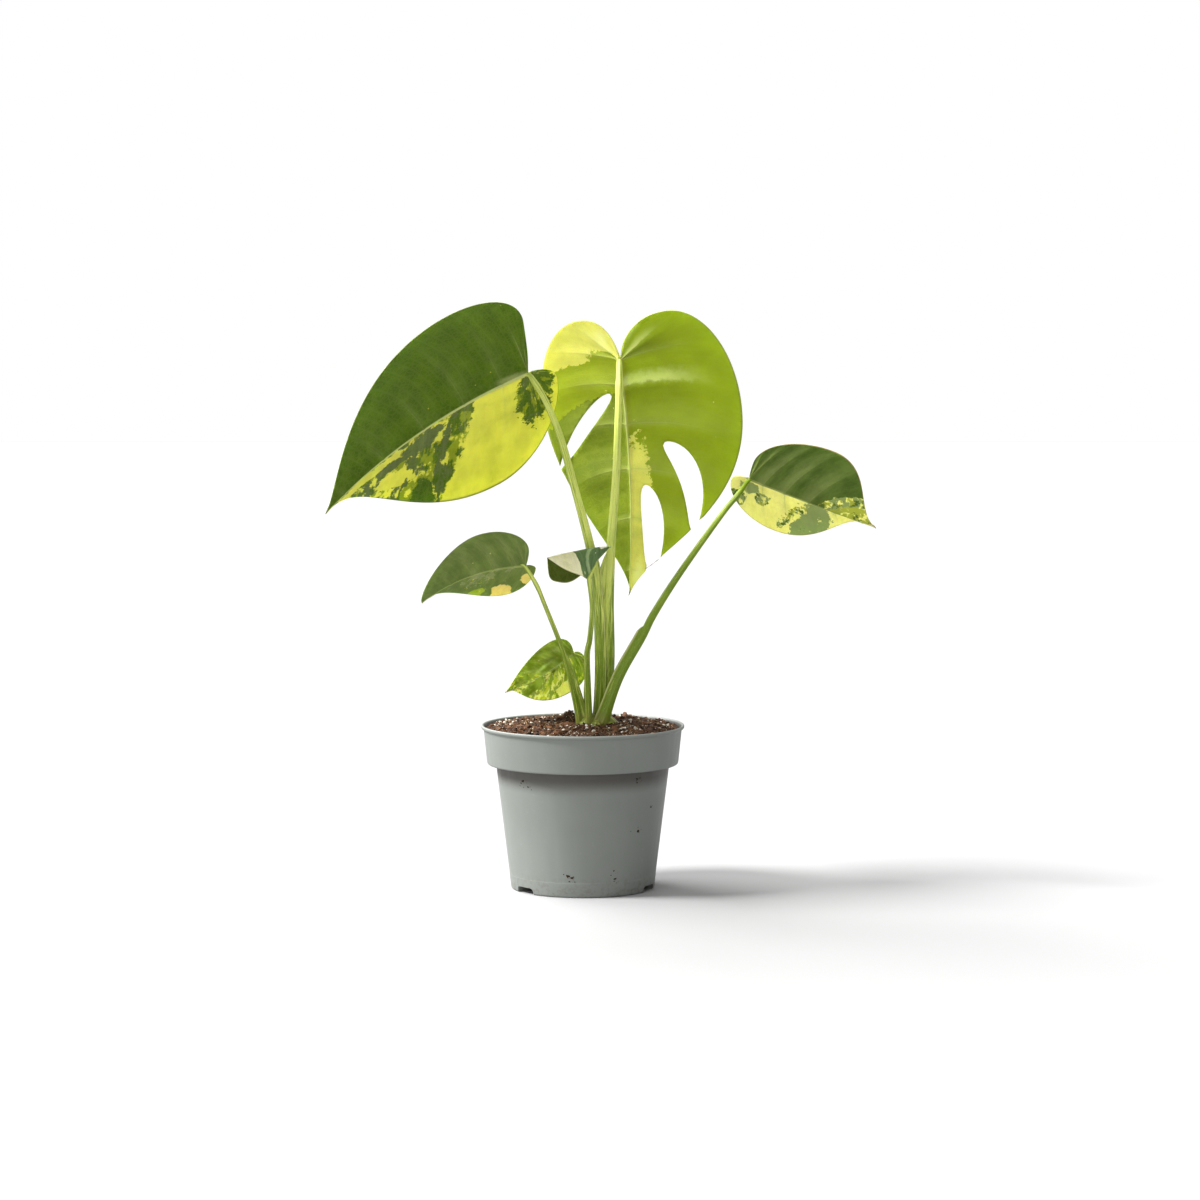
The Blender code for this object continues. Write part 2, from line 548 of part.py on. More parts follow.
def make_leaves():
    """The six leaves, from the tallest. The first is broad and turned left, the second is slotted and hangs in
    the middle, the third reaches to the right, the fourth and the sixth are small and low on the left, and the
    fifth, still curled, stands in front. Lengths are in millimetres."""
    make_leaf(
        1,
        joint=(-32.0, -22.0, 304.8),
        pose=(205.0, -32.0, 50.0),
        length=150,
        arch=28,
        left=Side(4, 40, 42, 81, 0.54, 15, 3, 12, -26),
        right=Side(18, 19, 32, 78, 0.54, 33, -2, 8, -24),
        look=(8.5, 2.2, 0.0024, DARK_GREEN),
        path=(
            (9.5, 2.0, 99.5),
            (10.6, 1.0, 135),
            (8.4, 0, 182),
            (4.2, -1.5, 203),
            (-5.6, -8, 241),
            (-13.1, -15, 268),
            (-21.2, -22.5, 288),
            (-27.5, -26, 299),
        ),
        radii=(3.4, 3.3, 3.0, 2.4, 2.2, 1.9, 1.7),
    )
    make_leaf(
        2,
        joint=(22.1, 10.0, 311.7),
        pose=(78.0, -79.0, 12.0),
        length=146,
        arch=28,
        left=Side(24, 18, 34, 57, 0.51, 22, -3, 7, -5),
        right=Side(26, 31, 38, 68.5, 0.58, 27.5, 6, 28, -13),
        look=(8.0, 2.2, 0.0024, LIGHT_GREEN),
        path=(
            (16.8, 4.2, 99.5),
            (16.9, 3.6, 133),
            (16.2, 2.8, 170),
            (17.3, 1.0, 205),
            (19.4, -1.0, 241),
            (20.6, -1.5, 271),
            (21.5, 1.5, 296),
        ),
        radii=(3.4, 3.3, 3.0, 2.7, 2.4, 2.1, 2.0),
        slots=(
            Slot(1, (23.5, 9.5), (44, 28.5), (71, 47), 4.2, 0.8),
            Slot(-1, (55, 20.5), (75, 35), (106, 36.5), 6.3, 0.8),
            Slot(-1, (79.5, 8), (100, 12.5), (127, 12.5), 5.0, 3.0),
        ),
    )
    make_leaf(
        3,
        joint=(98.2, 5.0, 242.1),
        pose=(-5.7, -21.0, -49.5),
        length=80,
        arch=-2,
        left=Side(10, 7, 23, 32, 0.64, 22, -8.5, 12, -29),
        right=Side(1, 11.5, 40.5, 39, 0.68, 15, 5.5, 2, 19),
        look=(7.0, 1.6, 0.0018, DARK_GREEN),
        path=(
            (13.8, -4.6, 99.5),
            (22.4, -4.8, 125),
            (34.6, -5.0, 148.5),
            (41.9, -5.0, 163),
            (57.2, -4.5, 187),
            (80.7, -4.0, 220),
            (91.3, -3.0, 233),
        ),
        radii=(2.6, 2.4, 2.4, 2.3, 2.0, 1.7, 1.5),
        wing=Wing((-0.85, -0.15, 0.5), 3.4, 0.38),
    )
    make_leaf(
        4,
        joint=(-33.4, -18.0, 192.7),
        pose=(204.7, -17.0, 46.0),
        length=70,
        arch=43,
        left=Side(1.5, 10, 30, 30, 0.47, -1, 5.3, 12.5, -8.5),
        right=Side(6.5, 4, 12.5, 25.5, 0.4, 13, -7, 4.5, -13),
        look=(6.0, 1.4, 0.0016, DARK_GREEN),
        path=(
            (-1.8, -2.5, 99.5),
            (-3.9, -3.0, 110),
            (-9.0, -6.0, 131.5),
            (-13.3, -8.5, 146),
            (-22.0, -12.5, 168.5),
            (-27.0, -17.0, 181),
        ),
        radii=(1.9, 1.8, 1.5, 1.4, 1.25, 1.2),
        wing=Wing((0.95, 0.2, 0.3), 3.4, 0.5),
    )
    make_leaf(
        6,
        joint=(-6.0, 10.0, 138.4),
        pose=(192.5, -29.0, 42.5),
        length=47,
        arch=-21,
        left=Side(1, 6.3, 14, 22, 0.5, 3.5, 1.2, 7, 1),
        right=Side(5.5, 10.5, 7, 25.5, 0.83, 8.7, -5, -7, -16),
        look=(5.0, 1.2, 0.0014, DARK_GREEN),
        path=((2.2, 3.5, 99.5), (1.9, 4.5, 116.5), (2.2, 6.0, 123), (1.6, 8.0, 130), (-0.6, 8.2, 135.3)),
        radii=(1.5, 1.2, 1.0, 0.9),
    )
    lobe = (-20.8, -14.0, 196.6)
    tip = (16.9, -9.0, 203.3)
    curled_blade(
        "leaf5_blade",
        near=(lobe, (-11.0, -20.0, 190.7), (-0.9, -21.0, 186.7), (3.8, -21.0, 185.2), (8.7, -16.0, 195.3), tip),
        crest=(lobe, (-11.4, -12.0, 198.8), (-3.0, -11.0, 200.5), (6.5, -10.0, 202.5), tip),
        far=(
            lobe,
            (-19.4, -12.0, 185.0),
            (-14.4, -10.0, 181.9),
            (-7.7, -8.0, 181.7),
            (-0.9, -8.0, 185.7),
            (9.0, -8.0, 194.7),
            tip,
        ),
        colour=LIGHT_GREEN,
        spans=19,
        steps=9,
    )
    path = (
        (4.0, -6.5, 99.5),
        (3.1, -7.5, 117.4),
        (2.6, -10.0, 138.4),
        (4.3, -12.5, 149.1),
        (5.6, -16.5, 166),
        (4.6, -20.6, 178),
        (4.0, -21.2, 183.8),
    )
    stalk("leaf5_stalk", path, (2.3, 2.2, 1.6, 1.4, 1.2, 1.2), STALK_COLOUR, Vector((0.0, 0.0, 1.0)))


def main():
    clear_scene()
    make_pot()
    make_soil()
    make_crown()
    make_leaves()


main()
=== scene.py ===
"""The looks of a young variegated monstera in a nursery pot. Metres, +Z up, the front facing -Y."""

import math

import bmesh
import bpy
import numpy as np
from mathutils import Matrix, Vector


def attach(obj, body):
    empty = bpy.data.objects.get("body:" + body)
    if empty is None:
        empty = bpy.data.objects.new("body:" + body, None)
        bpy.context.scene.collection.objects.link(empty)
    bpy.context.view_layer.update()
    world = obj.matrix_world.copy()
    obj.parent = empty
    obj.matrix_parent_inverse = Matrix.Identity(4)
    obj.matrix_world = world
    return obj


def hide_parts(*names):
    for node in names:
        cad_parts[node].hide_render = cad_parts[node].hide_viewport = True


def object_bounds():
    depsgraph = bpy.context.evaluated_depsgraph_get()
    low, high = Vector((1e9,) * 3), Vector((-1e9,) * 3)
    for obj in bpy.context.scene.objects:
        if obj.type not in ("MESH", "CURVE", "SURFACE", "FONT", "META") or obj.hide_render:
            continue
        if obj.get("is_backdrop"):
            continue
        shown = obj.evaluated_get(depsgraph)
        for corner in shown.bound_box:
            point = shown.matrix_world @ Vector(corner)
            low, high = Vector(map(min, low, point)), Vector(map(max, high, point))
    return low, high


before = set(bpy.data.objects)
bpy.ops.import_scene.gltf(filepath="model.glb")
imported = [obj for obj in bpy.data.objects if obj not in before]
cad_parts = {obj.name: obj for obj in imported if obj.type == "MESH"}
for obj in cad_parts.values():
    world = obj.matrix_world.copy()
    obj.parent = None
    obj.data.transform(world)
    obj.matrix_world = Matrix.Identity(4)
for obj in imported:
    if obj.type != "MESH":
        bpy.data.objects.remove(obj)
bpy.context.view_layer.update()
MM = 0.001


# The studio. The camera stands 2.2 m in front of the pot and a little above it, with a long lens. One soft
# sunlight comes from the left, a weaker one from behind on the left and a faint, very soft one from the front, and
# a pale floor lies under everything.
AMBIENT = 0.47
scene = bpy.context.scene
scene.view_settings.view_transform = "Standard"

camera = bpy.data.objects.new("camera", bpy.data.cameras.new("camera"))
camera.data.sensor_width = 36.0
camera.data.lens = 112.5
camera.location = (0.0102, -2.2, 0.359)
camera.rotation_euler = (Vector((0.0102, 0.0, 0.1705)) - camera.location).to_track_quat("-Z", "Y").to_euler()
scene.collection.objects.link(camera)
scene.camera = camera


def add_sun(name, towards, strength, softness):
    """A sunlight whose rays travel along towards, with the strength on a surface that faces it. softness is how
    wide its disc is in degrees."""
    lamp = bpy.data.lights.new(name, "SUN")
    lamp.energy = strength * math.pi
    lamp.angle = math.radians(softness)
    obj = bpy.data.objects.new(name, lamp)
    obj.rotation_euler = Vector(towards).to_track_quat("-Z", "Y").to_euler()
    scene.collection.objects.link(obj)


add_sun("key_light", (0.65, 0.115, -0.74), 1.88, 17)
add_sun("front_light", (0.52, 0.78, -0.35), 0.27, 60)
add_sun("back_light", (0.50, -0.42, -0.62), 1.05, 38)


def add_mesh(name, points, faces, material_of_face=None, sharp=None):
    """A mesh piece from arrays of points and of faces, smooth shaded."""
    mesh = bpy.data.meshes.new(name)
    mesh.from_pydata(points, [], faces)
    mesh.shade_smooth()
    if sharp is not None:
        mesh.set_sharp_from_angle(angle=math.radians(sharp))
    if material_of_face is not None:
        mesh.polygons.foreach_set("material_index", material_of_face.astype(np.int32))
    obj = bpy.data.objects.new(name, mesh)
    scene.collection.objects.link(obj)
    return obj


def corner_map(obj, name, values):
    """Adds a UV map to a piece, from one pair of numbers for each corner of its faces in turn."""
    layer = obj.data.uv_layers.new(name=name)
    layer.uv.foreach_set("vector", np.ascontiguousarray(values, np.float32).ravel())


def node(tree, kind, inputs=(), **settings):
    """Adds a shader node. inputs pairs the name or number of a socket with its value, or with the output socket
    that feeds it."""
    made = tree.nodes.new("ShaderNode" + kind)
    for setting, value in settings.items():
        setattr(made, setting, value)
    for key, value in dict(inputs).items():
        if isinstance(value, bpy.types.NodeSocket):
            tree.links.new(value, made.inputs[key])
        else:
            made.inputs[key].default_value = value
    return made


def new_material(name, roughness, **inputs):
    """A material with its node tree and its Principled BSDF, whose constant inputs are set by name."""
    made = bpy.data.materials.new(name)
    made.use_nodes = True
    surface = made.node_tree.nodes["Principled BSDF"]
    surface.inputs["Roughness"].default_value = roughness
    for key, value in inputs.items():
        surface.inputs[key.replace("_", " ")].default_value = value
    return made, made.node_tree, surface


def reckon(tree, operation, *values):
    """The result of a Math node on numbers or sockets."""
    return node(tree, "Math", dict(enumerate(values)), operation=operation).outputs[0]


def blend(tree, share, first, second, way="MIX"):
    """Two colours mixed: the first where share is 0, the second where it is 1."""
    return node(tree, "Mix", {0: share, 6: first, 7: second}, data_type="RGBA", blend_type=way).outputs[2]


# The white surroundings are brighter to the eye and in reflections than as a light on matt surfaces.
world = bpy.data.worlds.new("studio")
world.use_nodes = True
scene.world = world
tree = world.node_tree
ray = node(tree, "LightPath").outputs
seen = reckon(tree, "MAXIMUM", ray["Is Camera Ray"], reckon(tree, "MULTIPLY", ray["Is Glossy Ray"], 0.5))
tree.links.new(reckon(tree, "MULTIPLY_ADD", seen, 1.0 - AMBIENT, AMBIENT), tree.nodes["Background"].inputs["Strength"])
tree.nodes["Background"].inputs["Color"].default_value = (1.0, 1.0, 1.0, 1.0)

floor = add_mesh("floor", [(-6, -6, 0), (6, -6, 0), (6, 6, 0), (-6, 6, 0)], [(0, 1, 2, 3)])
floor_material, tree, surface = new_material("pale_floor", 0.7)
pale = blend(tree, node(tree, "LightPath").outputs["Is Camera Ray"], (0.3, 0.3, 0.3, 1), (0.39, 0.39, 0.39, 1))
tree.links.new(pale, surface.inputs["Base Color"])
floor.data.materials.append(floor_material)
floor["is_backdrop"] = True


# The pot: one moulded piece of grey polypropylene, 120 mm across its lip and 96.8 mm high. It is turned from its
# profile, and three channels are cut through its foot, each with a drain hole in its roof.
POT_HEIGHT = 0.0968
LIP = 0.0600
COLLAR_TOP = 0.0585
COLLAR_LOW = 0.0564
COLLAR_FOOT = POT_HEIGHT - 0.0230
BODY_TOP = 0.0512
BASE = 0.0423
WALL = 0.0014
CHANNELS = (-143.0, -23.0, 97.0)
DRAIN_RADIUS = 0.0035
DRAIN_AT = 0.0270


def rounded(profile, cut, steps):
    """A profile with its corners rounded: each inner point becomes a quadratic curve that starts and ends a
    distance cut away along its two sides, or 45% of the side where that is shorter."""
    points = np.array(profile, float)
    before, corner, after = points[:-2], points[1:-1], points[2:]
    back, ahead = before - corner, after - corner
    size_back = np.linalg.norm(back, axis=1)[:, None]
    size_ahead = np.linalg.norm(ahead, axis=1)[:, None]
    start = corner + back * np.minimum(cut / size_back, 0.45)
    end = corner + ahead * np.minimum(cut / size_ahead, 0.45)
    t = np.linspace(0, 1, steps)[None, :, None]
    curve = (1 - t) ** 2 * start[:, None] + 2 * (1 - t) * t * corner[:, None] + t**2 * end[:, None]
    return np.vstack([points[:1], curve.reshape(-1, 2), points[-1:]])


def turned(name, profile, sides):
    """A closed piece turned about Z: each point of the profile, a radius and a height, goes round in sides steps,
    and the first and last points lie on the axis."""
    turn = np.linspace(0, math.tau, sides, endpoint=False)
    inner = profile[1:-1]
    ring = np.stack([np.cos(turn), np.sin(turn), 0 * turn], -1)
    points = inner[:, None, :1] * ring[None] + np.array([0, 0, 1.0]) * inner[:, None, 1:]
    rows = len(inner)
    k = np.arange(rows * sides).reshape(rows, sides)
    after = np.roll(k, -1, axis=1)
    quads = np.stack([k[:-1], after[:-1], after[1:], k[1:]], -1).reshape(-1, 4).tolist()
    poles = rows * sides + np.arange(2)
    low = np.stack([np.full(sides, poles[0]), after[0], k[0]], -1).tolist()
    high = np.stack([np.full(sides, poles[1]), k[-1], after[-1]], -1).tolist()
    ends = [(0, 0, profile[0][1]), (0, 0, profile[-1][1])]
    return add_mesh(name, np.vstack([points.reshape(-1, 3), ends]).tolist(), quads + low + high, sharp=35)


def channel_cutter(angle, width, height, start):
    """A long block with its two upper edges bevelled, lying from start outwards along an angle."""
    bm = bmesh.new()
    bmesh.ops.create_cube(bm, size=1.0)
    bmesh.ops.scale(bm, vec=(LIP, width, 2 * height), verts=bm.verts)
    bmesh.ops.translate(bm, vec=(start + LIP / 2, 0, 0), verts=bm.verts)
    upper = [e for e in bm.edges if all(v.co.z > 0 for v in e.verts) and abs(e.verts[0].co.y - e.verts[1].co.y) < 1e-6]
    bmesh.ops.bevel(bm, geom=upper, offset=0.6 * height, segments=5, affect="EDGES", profile=0.5)
    bmesh.ops.rotate(bm, matrix=Matrix.Rotation(math.radians(angle), 3, "Z"), verts=bm.verts)
    return bm


def drain_cutter(angle):
    """An upright pin through the roof of a channel, where its drain hole goes."""
    bm = bmesh.new()
    bmesh.ops.create_cone(bm, cap_ends=True, segments=32, radius1=DRAIN_RADIUS, radius2=DRAIN_RADIUS, depth=0.012)
    bmesh.ops.translate(bm, vec=(DRAIN_AT, 0, 0.004), verts=bm.verts)
    bmesh.ops.rotate(bm, matrix=Matrix.Rotation(math.radians(angle), 3, "Z"), verts=bm.verts)
    return bm


def cut_away(obj, bms):
    """Cuts the solids out of a piece for good, with exact Booleans."""
    cutters = []
    for bm in bms:
        mesh = bpy.data.meshes.new("cutter")
        bm.to_mesh(mesh)
        bm.free()
        cutter = bpy.data.objects.new("cutter", mesh)
        scene.collection.objects.link(cutter)
        boolean = obj.modifiers.new("cut", "BOOLEAN")
        boolean.operation = "DIFFERENCE"
        boolean.solver = "EXACT"
        boolean.object = cutter
        cutters.append(cutter)
    made = bpy.data.meshes.new_from_object(obj.evaluated_get(bpy.context.evaluated_depsgraph_get()))
    obj.modifiers.clear()
    obj.data = made
    for cutter in cutters:
        bpy.data.objects.remove(cutter, do_unlink=True)


outside = rounded(
    (
        (0.0, 0.0),
        (BASE, 0.0),
        (BASE + 0.00098, 0.0086),
        (BASE + 0.00092, 0.0088),
        (BODY_TOP, COLLAR_FOOT),
        (COLLAR_LOW, COLLAR_FOOT),
        (COLLAR_TOP, POT_HEIGHT - 0.0026),
        (LIP, POT_HEIGHT - 0.0018),
        (LIP, POT_HEIGHT),
        (LIP - WALL, POT_HEIGHT),
        (COLLAR_TOP - WALL + 0.0003, POT_HEIGHT - 0.0024),
        (COLLAR_LOW - WALL, COLLAR_FOOT + WALL),
        (BODY_TOP - WALL, COLLAR_FOOT + WALL),
        (BASE - WALL, 0.0034),
        (0.0, 0.0034),
    ),
    0.0012,
    5,
)
pot = turned("pot_shell", outside, 192)
cut_away(pot, [channel_cutter(a, 0.0150, 0.0038, 0.0150) for a in CHANNELS] + [drain_cutter(a) for a in CHANNELS])
pot.data.shade_smooth()
pot.data.set_sharp_from_angle(angle=math.radians(35))


def ease(tree, value, low, high, to_low=0.0, to_high=1.0):
    """value carried smoothly from the range low to high over to the range to_low to to_high, and held outside it."""
    inputs = {"Value": value, "From Min": low, "From Max": high, "To Min": to_low, "To Max": to_high}
    return node(tree, "MapRange", inputs, interpolation_type="SMOOTHSTEP").outputs["Result"]


def grain(tree, place, scale, detail=3.0, roughness=0.5):
    """Noise from 0 to 1, about scale lumps to each unit of place."""
    inputs = {"Vector": place, "Scale": scale, "Detail": detail, "Roughness": roughness}
    return node(tree, "TexNoise", inputs).outputs["Fac"]


def stretched(tree, place, scale):
    """A place scaled along each axis, so that a pattern read there is drawn out along the small ones."""
    return node(tree, "Mapping", {"Vector": place, "Scale": scale}).outputs["Vector"]


def relief(tree, surface, height, millimetres):
    """Feeds a height from 0 to 1 into a surface as a bump of so many millimetres."""
    bump = node(tree, "Bump", {"Height": height, "Distance": millimetres * MM})
    tree.links.new(bump.outputs["Normal"], surface.inputs["Normal"])


def halves(tree, vector):
    """The first two parts of a vector."""
    return node(tree, "SeparateXYZ", {0: vector}).outputs[:2]


pot_material, tree, surface = new_material("pot_polypropylene", 0.5)
place = node(tree, "TexCoord").outputs["Object"]
height = node(tree, "SeparateXYZ", {0: place}).outputs["Z"]
tone = grain(tree, place, 28, 4)
flow = grain(tree, stretched(tree, place, (160, 160, 12)), 1.0, 4)
colour = blend(tree, ease(tree, tone, 0.3, 0.7), (0.192, 0.207, 0.188, 1), (0.208, 0.224, 0.203, 1))
colour = blend(tree, ease(tree, flow, 0.35, 0.75, 0.0, 0.35), colour, (0.225, 0.240, 0.220, 1))
scuffs = grain(tree, stretched(tree, place, (190, 190, 430)), 1.0, 5, 0.7)
rubbed = reckon(tree, "MULTIPLY", ease(tree, scuffs, 0.60, 0.74), ease(tree, grain(tree, place, 45, 2), 0.54, 0.66))
colour = blend(tree, reckon(tree, "MULTIPLY", rubbed, 0.40), colour, (0.34, 0.35, 0.33, 1))
# The top 1.2 mm of the lip is painted paler all round: a painted highlight on the edge that catches the light.
colour = blend(tree, ease(tree, height, POT_HEIGHT - 0.0012, POT_HEIGHT, 0.0, 0.45), colour, (0.36, 0.38, 0.35, 1))
dusty = reckon(tree, "MULTIPLY", ease(tree, height, 0.016, 0.0, 0.0, 0.6), ease(tree, grain(tree, place, 420, 3), 0.45, 0.7))
colour = blend(tree, dusty, colour, (0.14, 0.12, 0.10, 1))
# Inside the lip, the inner wall is painted near black: a painted shade where the wall lies in shadow below the rim.
# There each height has a smaller distance from the axis.
x, y = halves(tree, place)
axis_distance = reckon(tree, "SQRT", reckon(tree, "ADD", reckon(tree, "MULTIPLY", x, x), reckon(tree, "MULTIPLY", y, y)))
LEAN_OUT = (COLLAR_TOP - COLLAR_LOW) / (POT_HEIGHT - 0.0026 - COLLAR_FOOT)
straightened = reckon(tree, "MULTIPLY_ADD", reckon(tree, "SUBTRACT", height, COLLAR_FOOT), -LEAN_OUT, axis_distance)
painted_inner_shade = ease(tree, straightened, COLLAR_LOW - WALL + 0.0013, COLLAR_LOW - WALL + 0.0007, 0.0, 0.85)
painted_inner_shade = reckon(tree, "MULTIPLY", painted_inner_shade, ease(tree, height, 0.06, 0.07))
colour = blend(tree, painted_inner_shade, colour, (0.045, 0.038, 0.032, 1))
tree.links.new(colour, surface.inputs["Base Color"])
tree.links.new(ease(tree, flow, 0.3, 0.7, 0.42, 0.58), surface.inputs["Roughness"])
relief(tree, surface, reckon(tree, "ADD", grain(tree, place, 1500, 2), reckon(tree, "MULTIPLY", tone, 2.0)), 0.03)
pot.data.materials.clear()
pot.data.materials.append(pot_material)
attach(pot, "root")
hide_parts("pot")


# The blades: each is a thin sheet with a heart-shaped outline, whose veins run from the midrib out to the edge.
# It is worked out flat, vein by vein, and then arched, folded and curled into place.
def side_edge(side, length, count):
    """The edge of one half of a flat blade as count points evenly spread along it. Three cubic Bezier arcs run
    from the joint back round the lobe, out to the widest place and on to the tip."""
    lobe_back, out, widest, wide, fullness, tip_reach, tip_width = side[:7]
    back = -lobe_back
    arcs = np.array(
        [
            [(0, 0), (0.55 * back, 0.08 * out), (back, 0.4 * out), (back, out)],
            [(back, out), (back, out + 0.55 * (wide - out)), (widest - 0.55 * (widest - back), wide), (widest, wide)],
            [(widest, wide), (widest + fullness * (length - widest), wide), (length - tip_reach, tip_width), (length, 0)],
        ],
        float,
    )
    t = np.linspace(0, 1, 200)[None, :, None]
    p0, p1, p2, p3 = (arcs[:, k, None] for k in range(4))
    found = ((1 - t) ** 3 * p0 + 3 * (1 - t) ** 2 * t * p1 + 3 * (1 - t) * t**2 * p2 + t**3 * p3).reshape(-1, 2)
    run = np.concatenate([[0], np.cumsum(np.linalg.norm(np.diff(found, axis=0), axis=1))])
    share = np.asarray(count) * run[-1]
    return np.stack([np.interp(share, run, found[:, k]) for k in range(2)], -1)


def vein_grid(side, length, veins, per_vein, rows, lobe_share):
    """A grid over one half of a flat blade. Column w is a vein, a quadratic curve that leaves the midrib at root
    and ends on the edge at the share w of its length, bowed outwards. Columns crowd round the main veins, which
    are spread evenly. Returns the points, w and t, the share of the way from the midrib to the edge."""
    x = np.linspace(0, 1, veins * per_vein + 1)
    w = x + 0.7 / (math.tau * veins) * np.sin(math.tau * veins * x)
    edge = side_edge(side, length, w)
    root = length * np.clip((w - lobe_share) / (1 - lobe_share), 0, 1) ** 1.2
    start = np.stack([root, 0 * root], -1)
    chord = edge - start
    outward = np.stack([-chord[:, 1], chord[:, 0]], -1)
    bow = 0.14 * np.sin(math.pi * np.clip((w - 0.2) / 0.8, 0, 1))
    handle = start + 0.5 * chord + bow[:, None] * outward
    t = np.linspace(0, 1, rows)[:, None] ** 1.3
    s = t[..., None]
    flat = (1 - s) ** 2 * start + 2 * (1 - s) * s * handle + s**2 * edge
    return flat, np.broadcast_to(w, flat.shape[:2]), np.broadcast_to(t, flat.shape[:2])


def vein_distance(flat, w, t, veins):
    """How far each point of the grid is from the nearest main vein, in millimetres: its distance in w times how
    fast the grid moves sideways across the vein."""
    sideways = np.gradient(flat, axis=1) / np.maximum(np.gradient(w, axis=1), 1e-9)[..., None]
    along = np.gradient(flat, axis=0)
    along = along / np.maximum(np.linalg.norm(along, axis=-1), 1e-9)[..., None]
    speed = np.abs(sideways[..., 0] * along[..., 1] - sideways[..., 1] * along[..., 0])
    phase = w * veins - 0.5
    return np.abs(phase - np.round(phase)) / veins * speed


def along_arc(distance, start, bend):
    """The place reached after a distance along an arc that sets off at an angle and bends at a steady rate."""
    bend = np.where(np.abs(bend) < 1e-9, 1e-9, bend)
    turned_to = start + bend * distance
    return (np.sin(turned_to) - np.sin(start)) / bend, (np.cos(start) - np.cos(turned_to)) / bend


def raise_blade(flat, relief, length, arch, fold, curl, wide):
    """Puts flat points into space. The midrib arches by arch degrees, the half folds up by fold degrees from it
    and curls by curl degrees to its edge, and relief lifts each point square to the sheet. Millimetres."""
    along, out = flat[..., 0], flat[..., 1]
    way = np.where(out < 0, -1.0, 1.0)
    start = math.radians(arch) / 2
    bend = -math.radians(arch) / length
    x, z = along_arc(along, start, bend)
    lean = start + bend * along
    reach = np.abs(out)
    fold_angle = math.radians(fold)
    rate = math.radians(curl) / wide
    across, up = along_arc(reach, fold_angle, rate)
    turned_to = (fold_angle + rate * reach) * np.minimum(reach / 3.0, 1.0)
    across = across - np.sin(turned_to) * relief
    up = up + np.cos(turned_to) * relief
    return np.stack([x - np.sin(lean) * up, across * way, z + np.cos(lean) * up], -1)


def blade_axes(heading, droop, roll):
    """The blade's own axes as rows: along it, across it to its left, and out of its upper face."""
    heading, droop, roll = (math.radians(angle) for angle in (heading, droop, roll))
    on = np.array([math.cos(droop) * math.cos(heading), math.cos(droop) * math.sin(heading), math.sin(droop)])
    across = np.cross([0, 0, 1], on)
    across /= np.linalg.norm(across)
    up = np.cross(on, across)
    left = across * math.cos(roll) + up * math.sin(roll)
    return np.stack([on, left, up * math.cos(roll) - across * math.sin(roll)])


def slot_outline(slot):
    """The outline of a slot: a quadratic curve through its inner end, its middle and its mouth, given a half width
    that swells in the middle."""
    side, inner, middle, mouth, half_width, half_mouth = slot
    inner, middle, mouth = (np.array(place, float) for place in (inner, middle, mouth))
    handle = 2 * middle - (inner + mouth) / 2
    t = np.linspace(0, 1.08, 120)[:, None]
    centre = (1 - t) ** 2 * inner + 2 * (1 - t) * t * handle + t**2 * mouth
    ahead = np.gradient(centre, axis=0)
    ahead /= np.linalg.norm(ahead, axis=1)[:, None]
    across = np.stack([-ahead[:, 1], ahead[:, 0]], -1)
    swell = np.sin(math.pi * np.clip(t, 0, 1) ** 0.8) ** 0.6
    half = half_width * swell + half_mouth * t
    outline = np.vstack([(centre + across * half)[1:], (centre - across * half)[:0:-1], centre[:1]])
    return outline * (1, side)


def inside(points, outline):
    """For each point, whether it lies inside the closed outline: the edges that a ray crosses are counted."""
    x, y = points[:, 0][:, None], points[:, 1][:, None]
    x0, y0 = outline[:, 0][None], outline[:, 1][None]
    x1, y1 = np.roll(outline[:, 0], -1)[None], np.roll(outline[:, 1], -1)[None]
    spans = (y0 > y) != (y1 > y)
    rise = np.where(y1 == y0, 1e-9, y1 - y0)
    return (spans & (x < (x1 - x0) * (y - y0) / rise + x0)).sum(axis=1) % 2 == 1


def nearest_on(points, outline):
    """For each point, the nearest place on the closed outline."""
    start = outline[None]
    along = np.roll(outline, -1, axis=0)[None] - start
    share = ((points[:, None] - start) * along).sum(-1) / np.maximum((along**2).sum(-1), 1e-12)
    places = start + np.clip(share, 0, 1)[..., None] * along
    best = np.linalg.norm(points[:, None] - places, axis=-1).argmin(axis=1)
    return places[np.arange(len(points)), best]


def grid_triangles(rows, columns, first, flip):
    """Two triangles for each cell of a grid whose points are numbered row by row from first."""
    k = first + np.arange(rows * columns).reshape(rows, columns)
    a, b, c, d = k[:-1, :-1], k[:-1, 1:], k[1:, 1:], k[1:, :-1]
    faces = np.concatenate([np.stack([a, b, c], -1).reshape(-1, 3), np.stack([a, c, d], -1).reshape(-1, 3)])
    return faces[:, ::-1] if flip else faces


